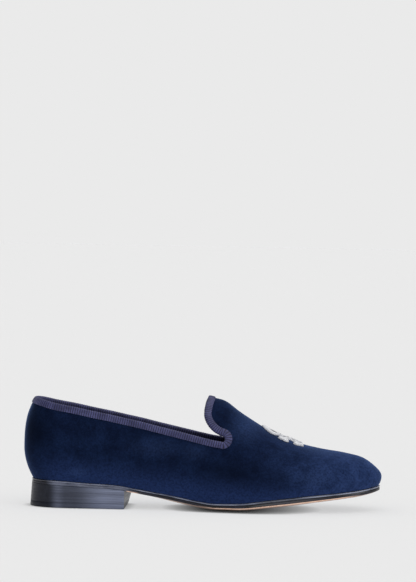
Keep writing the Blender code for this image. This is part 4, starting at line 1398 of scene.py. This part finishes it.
def heel_paint_with_painted_light(look, dark, light, fine, strength):
    """Heel paint with painted reflection in its colour: lighter from the heel's round back towards its
    breast, with a painted highlight in a narrow upright band and painted shade on the breast face.
    """
    lines = look.noise(1300.0, 3.0, 0.7, (0.02, 0.02, 1.0))
    coarse = look.noise(480.0, 3.0, 0.6, (0.03, 0.03, 1.0))
    scuffs = look.noise(150.0, 4.0, 0.65)
    # Painted reflection and painted highlight: lighter towards the breast, with a narrow upright band
    from_shine = look.math("ABSOLUTE", look.math("ADD", look.x, HEEL_PAINTED_HIGHLIGHT))
    wear_and_painted_light = look.spread(from_shine, HEEL_PAINTED_HIGHLIGHT, 0.0, 0.0, 0.24)
    for low, high, amount in ((-0.016, -0.006, 0.26), (0.006, 0.034, 0.74)):
        wear_and_painted_light = look.math("ADD", wear_and_painted_light, look.along(low, high, 0.0, amount))
    # Painted shade on the breast face, which faces forwards
    facing = look.node("ShaderNodeNewGeometry").outputs["Normal"]
    forwards = look.node("ShaderNodeSeparateXYZ", {0: facing}).outputs[0]
    lit_off_breast = look.spread(forwards, 0.75, 0.95, 1.0, 0.12)
    colour = look.mix(
        dark,
        (look.math("MULTIPLY", wear_and_painted_light, lit_off_breast), light),
        (look.spread(coarse, 0.35, 0.65, 0.0, strength), dark),
        (look.spread(lines, 0.42, 0.7, 0.0, strength), fine),
        (look.spread(scuffs, 0.5, 0.75, 0.0, 0.04), light),
    )
    return colour, lines


def heel_leather_material():
    """Stacked leather, painted and polished, with the fine lines of its layers; its colour carries
    painted reflection, highlight and shade.
    """
    look = Look(
        "painted stacked leather", Specular_IOR_Level=0.24, Coat_Weight=0.04, Coat_Roughness=0.25,
    )
    colour, lines = heel_paint_with_painted_light(look, rgb(20, 24, 38), rgb(140, 148, 174), rgb(20, 23, 35), 0.38)
    return look.finish(colour, lines, 0.00006, 0.4, (lines, 0.30, 0.44))


def rubber_material():
    look = Look("heel rubber", Specular_IOR_Level=0.22, Coat_Weight=0.02, Coat_Roughness=0.3)
    fine = look.noise(900.0, 3.0, 0.6)
    # Painted reflection, highlight and shade on the top piece, as on the heel
    colour, _ = heel_paint_with_painted_light(look, rgb(20, 24, 37), rgb(132, 140, 166), rgb(22, 25, 37), 0.26)
    return look.finish(colour, fine, 0.00004, 0.4, (fine, 0.34, 0.50))


def thread_material(name, light, shade, dark):
    look = Look(name, Roughness=0.42, Specular_IOR_Level=0.6, Sheen_Weight=0.2)
    strands = look.noise(1900.0, 2.0, 0.6)
    colour = look.between(strands, light, shade, 0.35)
    colour = look.mix(colour, (look.spread(look.value("ink"), 0.3, 0.7), dark))
    return look.finish(colour, strands, 0.00006, 0.5)


# Pieces

# Velvet and lining: their two depths under the outer face, the step of their grids, and
# the share of the soft hollows and swells that they follow
VELVET_SHELL = (0.0, 0.00092, 0.0016, 1.0)
LINING_SHELL = (0.00100, WALL, 0.0030, 0.5)


def build_shoe():
    leather = sole_leather_material()
    lining = lining_material("dark lining leather", rgb(24, 26, 36), rgb(46, 49, 64))
    sock = lining_material("dark sock leather", rgb(32, 34, 44), rgb(60, 63, 80))
    white = thread_material(
        "white silver thread", rgb(252, 252, 254), rgb(228, 230, 236), rgb(34, 36, 46),
    )
    silver = thread_material(
        "silver grey thread", rgb(196, 199, 208), rgb(138, 142, 154), rgb(60, 62, 72),
    )
    dress(upper_shell("velvet_upper", velvet_material(), *VELVET_SHELL), "velvet", "upper")
    dress(upper_shell("upper_lining", lining, *LINING_SHELL), "lining")
    dress(build_binding(ribbon_material()), "ribbon", "collar_binding")
    sole = build_outsole(leather, painted_edge_material(), bare_edge_material(), bead_material())
    dress(sole, "sole_leather", "outsole")
    dress(build_sock(sock), "lining", "insole")
    stack, cap = build_heel(heel_leather_material(), rubber_material())
    dress(stack, "heel_leather", "heel_lift_1", "heel_lift_2", "heel_lift_3")
    dress(cap, "heel_rubber", "heel_top_piece")
    skull, skull_cord = build_skull(white, silver)
    dress(skull, "thread", "skull_embroidery")
    dress(skull_cord, "thread")
    bones, bones_cord = build_bones(white, silver)
    dress(bones, "thread", "crossbones_embroidery")
    dress(bones_cord, "thread")


# Studio: floor, lights and camera. Background and floor have one brightness.
BACKDROP = 0.823
FLOOR_ALBEDO = 0.80
WORLD_LIGHT = 0.26
FLOOR_SUN_TILT = math.radians(42.0)
FLOOR_SUN_WIDTH = math.radians(70.0)
# Painted contact shadow: the floor's colour darkens this near to the sole, down to this brightness, by
# this power
CONTACT_REACH = 0.008
CONTACT_SHADOW_DARK = 0.01
CONTACT_POWER = 0.80
# Most of the floor's light casts no shadow
SHADOWED_SHARE = 0.05

# Soft panels that light the shoe only: power, width, height and place
STUDIO_PANELS = (
    ("front panel", 16.0, 2.2, 1.5, (0.75, -3.2, 0.9)),
    ("top panel", 18.0, 1.8, 0.9, (0.3, 0.2, 1.9)),
    ("toe panel", 5.0, 0.8, 0.8, (1.9, -0.6, 0.9)),
)
PANELS_AIM_AT = (0.10, 0.0, 0.04)


def build_floor():
    mesh = bmesh.new()
    bmesh.ops.create_grid(mesh, x_segments=1, y_segments=1, size=40.0)
    data = bpy.data.meshes.new("floor")
    mesh.to_mesh(data)
    mesh.free()
    look = Look("pale studio floor", Roughness=1.0, Specular_IOR_Level=0.0)
    # Painted contact shadow: ambient occlusion darkens the floor's colour near the sole
    near = look.node("ShaderNodeAmbientOcclusion", {"Distance": CONTACT_REACH}, samples=16)
    open_share = look.math("POWER", near.outputs["AO"], CONTACT_POWER)
    look.feed(Base_Color=look.mix(pale(CONTACT_SHADOW_DARK), (open_share, pale(FLOOR_ALBEDO))))
    data.materials.append(look.material)
    floor = bpy.data.objects.new("floor", data)
    bpy.context.scene.collection.objects.link(floor)
    return floor


def add_light(name, kind, energy, linked, link_state, **settings):
    """Light that shines on one object only, or on all but it."""
    data = bpy.data.lights.new(name, kind)
    data.energy = energy
    for key, value in settings.items():
        setattr(data, key, value)
    light = bpy.data.objects.new(name, data)
    bpy.context.scene.collection.objects.link(light)
    receivers = bpy.data.collections.new(name + " receivers")
    receivers.objects.link(linked)
    receivers.collection_objects[0].light_linking.link_state = link_state
    light.light_linking.receiver_collection = receivers
    return light


def aim(thing, location, target):
    """Puts a light at a place, turned towards a target."""
    direction = np.array(target, dtype=float) - np.array(location, dtype=float)
    yaw = math.atan2(direction[0], -direction[1])
    pitch = math.atan2(math.hypot(direction[0], direction[1]), -direction[2])
    thing.location = location
    thing.rotation_euler = (pitch, 0.0, yaw + math.pi)


def build_world(scene):
    """Even light all round, and a plain backdrop where the camera sees past the floor."""
    world = bpy.data.worlds.new("studio")
    scene.world = world
    world.use_nodes = True
    tree = world.node_tree
    tree.nodes.clear()
    seen = node(tree, "ShaderNodeBackground", {"Color": pale(BACKDROP)})
    lit = node(tree, "ShaderNodeBackground", {"Color": pale(1.0), "Strength": WORLD_LIGHT})
    path = node(tree, "ShaderNodeLightPath")
    choice = node(tree, "ShaderNodeMixShader", {
        0: path.outputs["Is Camera Ray"], 1: lit.outputs[0], 2: seen.outputs[0],
    })
    node(tree, "ShaderNodeOutputWorld", {"Surface": choice.outputs[0]})


def build_studio():
    scene = bpy.context.scene
    scene.view_settings.view_transform = "Standard"
    scene.view_settings.look = "None"
    floor = build_floor()
    build_world(scene)
    # A wide sun from the front lights the floor evenly, and its soft shadow falls behind
    floor_light = (BACKDROP / FLOOR_ALBEDO - WORLD_LIGHT) * math.pi / math.cos(FLOOR_SUN_TILT)
    for name, share, shadow in (
        ("floor sun", SHADOWED_SHARE, True), ("floor fill", 1.0 - SHADOWED_SHARE, False),
    ):
        sun = add_light(name, "SUN", floor_light * share, floor, "INCLUDE",
                        angle=FLOOR_SUN_WIDTH, use_shadow=shadow)
        sun.rotation_euler = (FLOOR_SUN_TILT, 0.0, 0.0)
    for name, energy, width, height, location in STUDIO_PANELS:
        panel = add_light(name, "AREA", energy, floor, "EXCLUDE",
                          shape="RECTANGLE", size=width, size_y=height)
        aim(panel, location, PANELS_AIM_AT)
        panel.visible_camera = False


# The photograph's camera: a long lens a little above the shoe's own height
CAMERA_AT = (0.1141, -2.40, 0.230)
CAMERA_DOWN = math.radians(1.194)
CAMERA_ROLL = math.radians(1.05)
CAMERA_LENS = 179.0


def build_camera():
    data = bpy.data.cameras.new("camera")
    data.lens = CAMERA_LENS
    data.sensor_width = 36.0
    data.clip_start = 0.05
    data.clip_end = 200.0
    camera = bpy.data.objects.new("camera", data)
    bpy.context.scene.collection.objects.link(camera)
    forward = np.array([0.0, math.cos(CAMERA_DOWN), -math.sin(CAMERA_DOWN)])
    level = np.array([1.0, 0.0, 0.0])
    right = math.cos(CAMERA_ROLL) * level + math.sin(CAMERA_ROLL) * np.cross(level, forward)
    matrix = np.eye(4)
    matrix[:3] = np.column_stack([right, np.cross(right, forward), -forward, CAMERA_AT])
    camera.matrix_world = Matrix(matrix.tolist())
    bpy.context.scene.camera = camera


build_shoe()
build_studio()
build_camera()
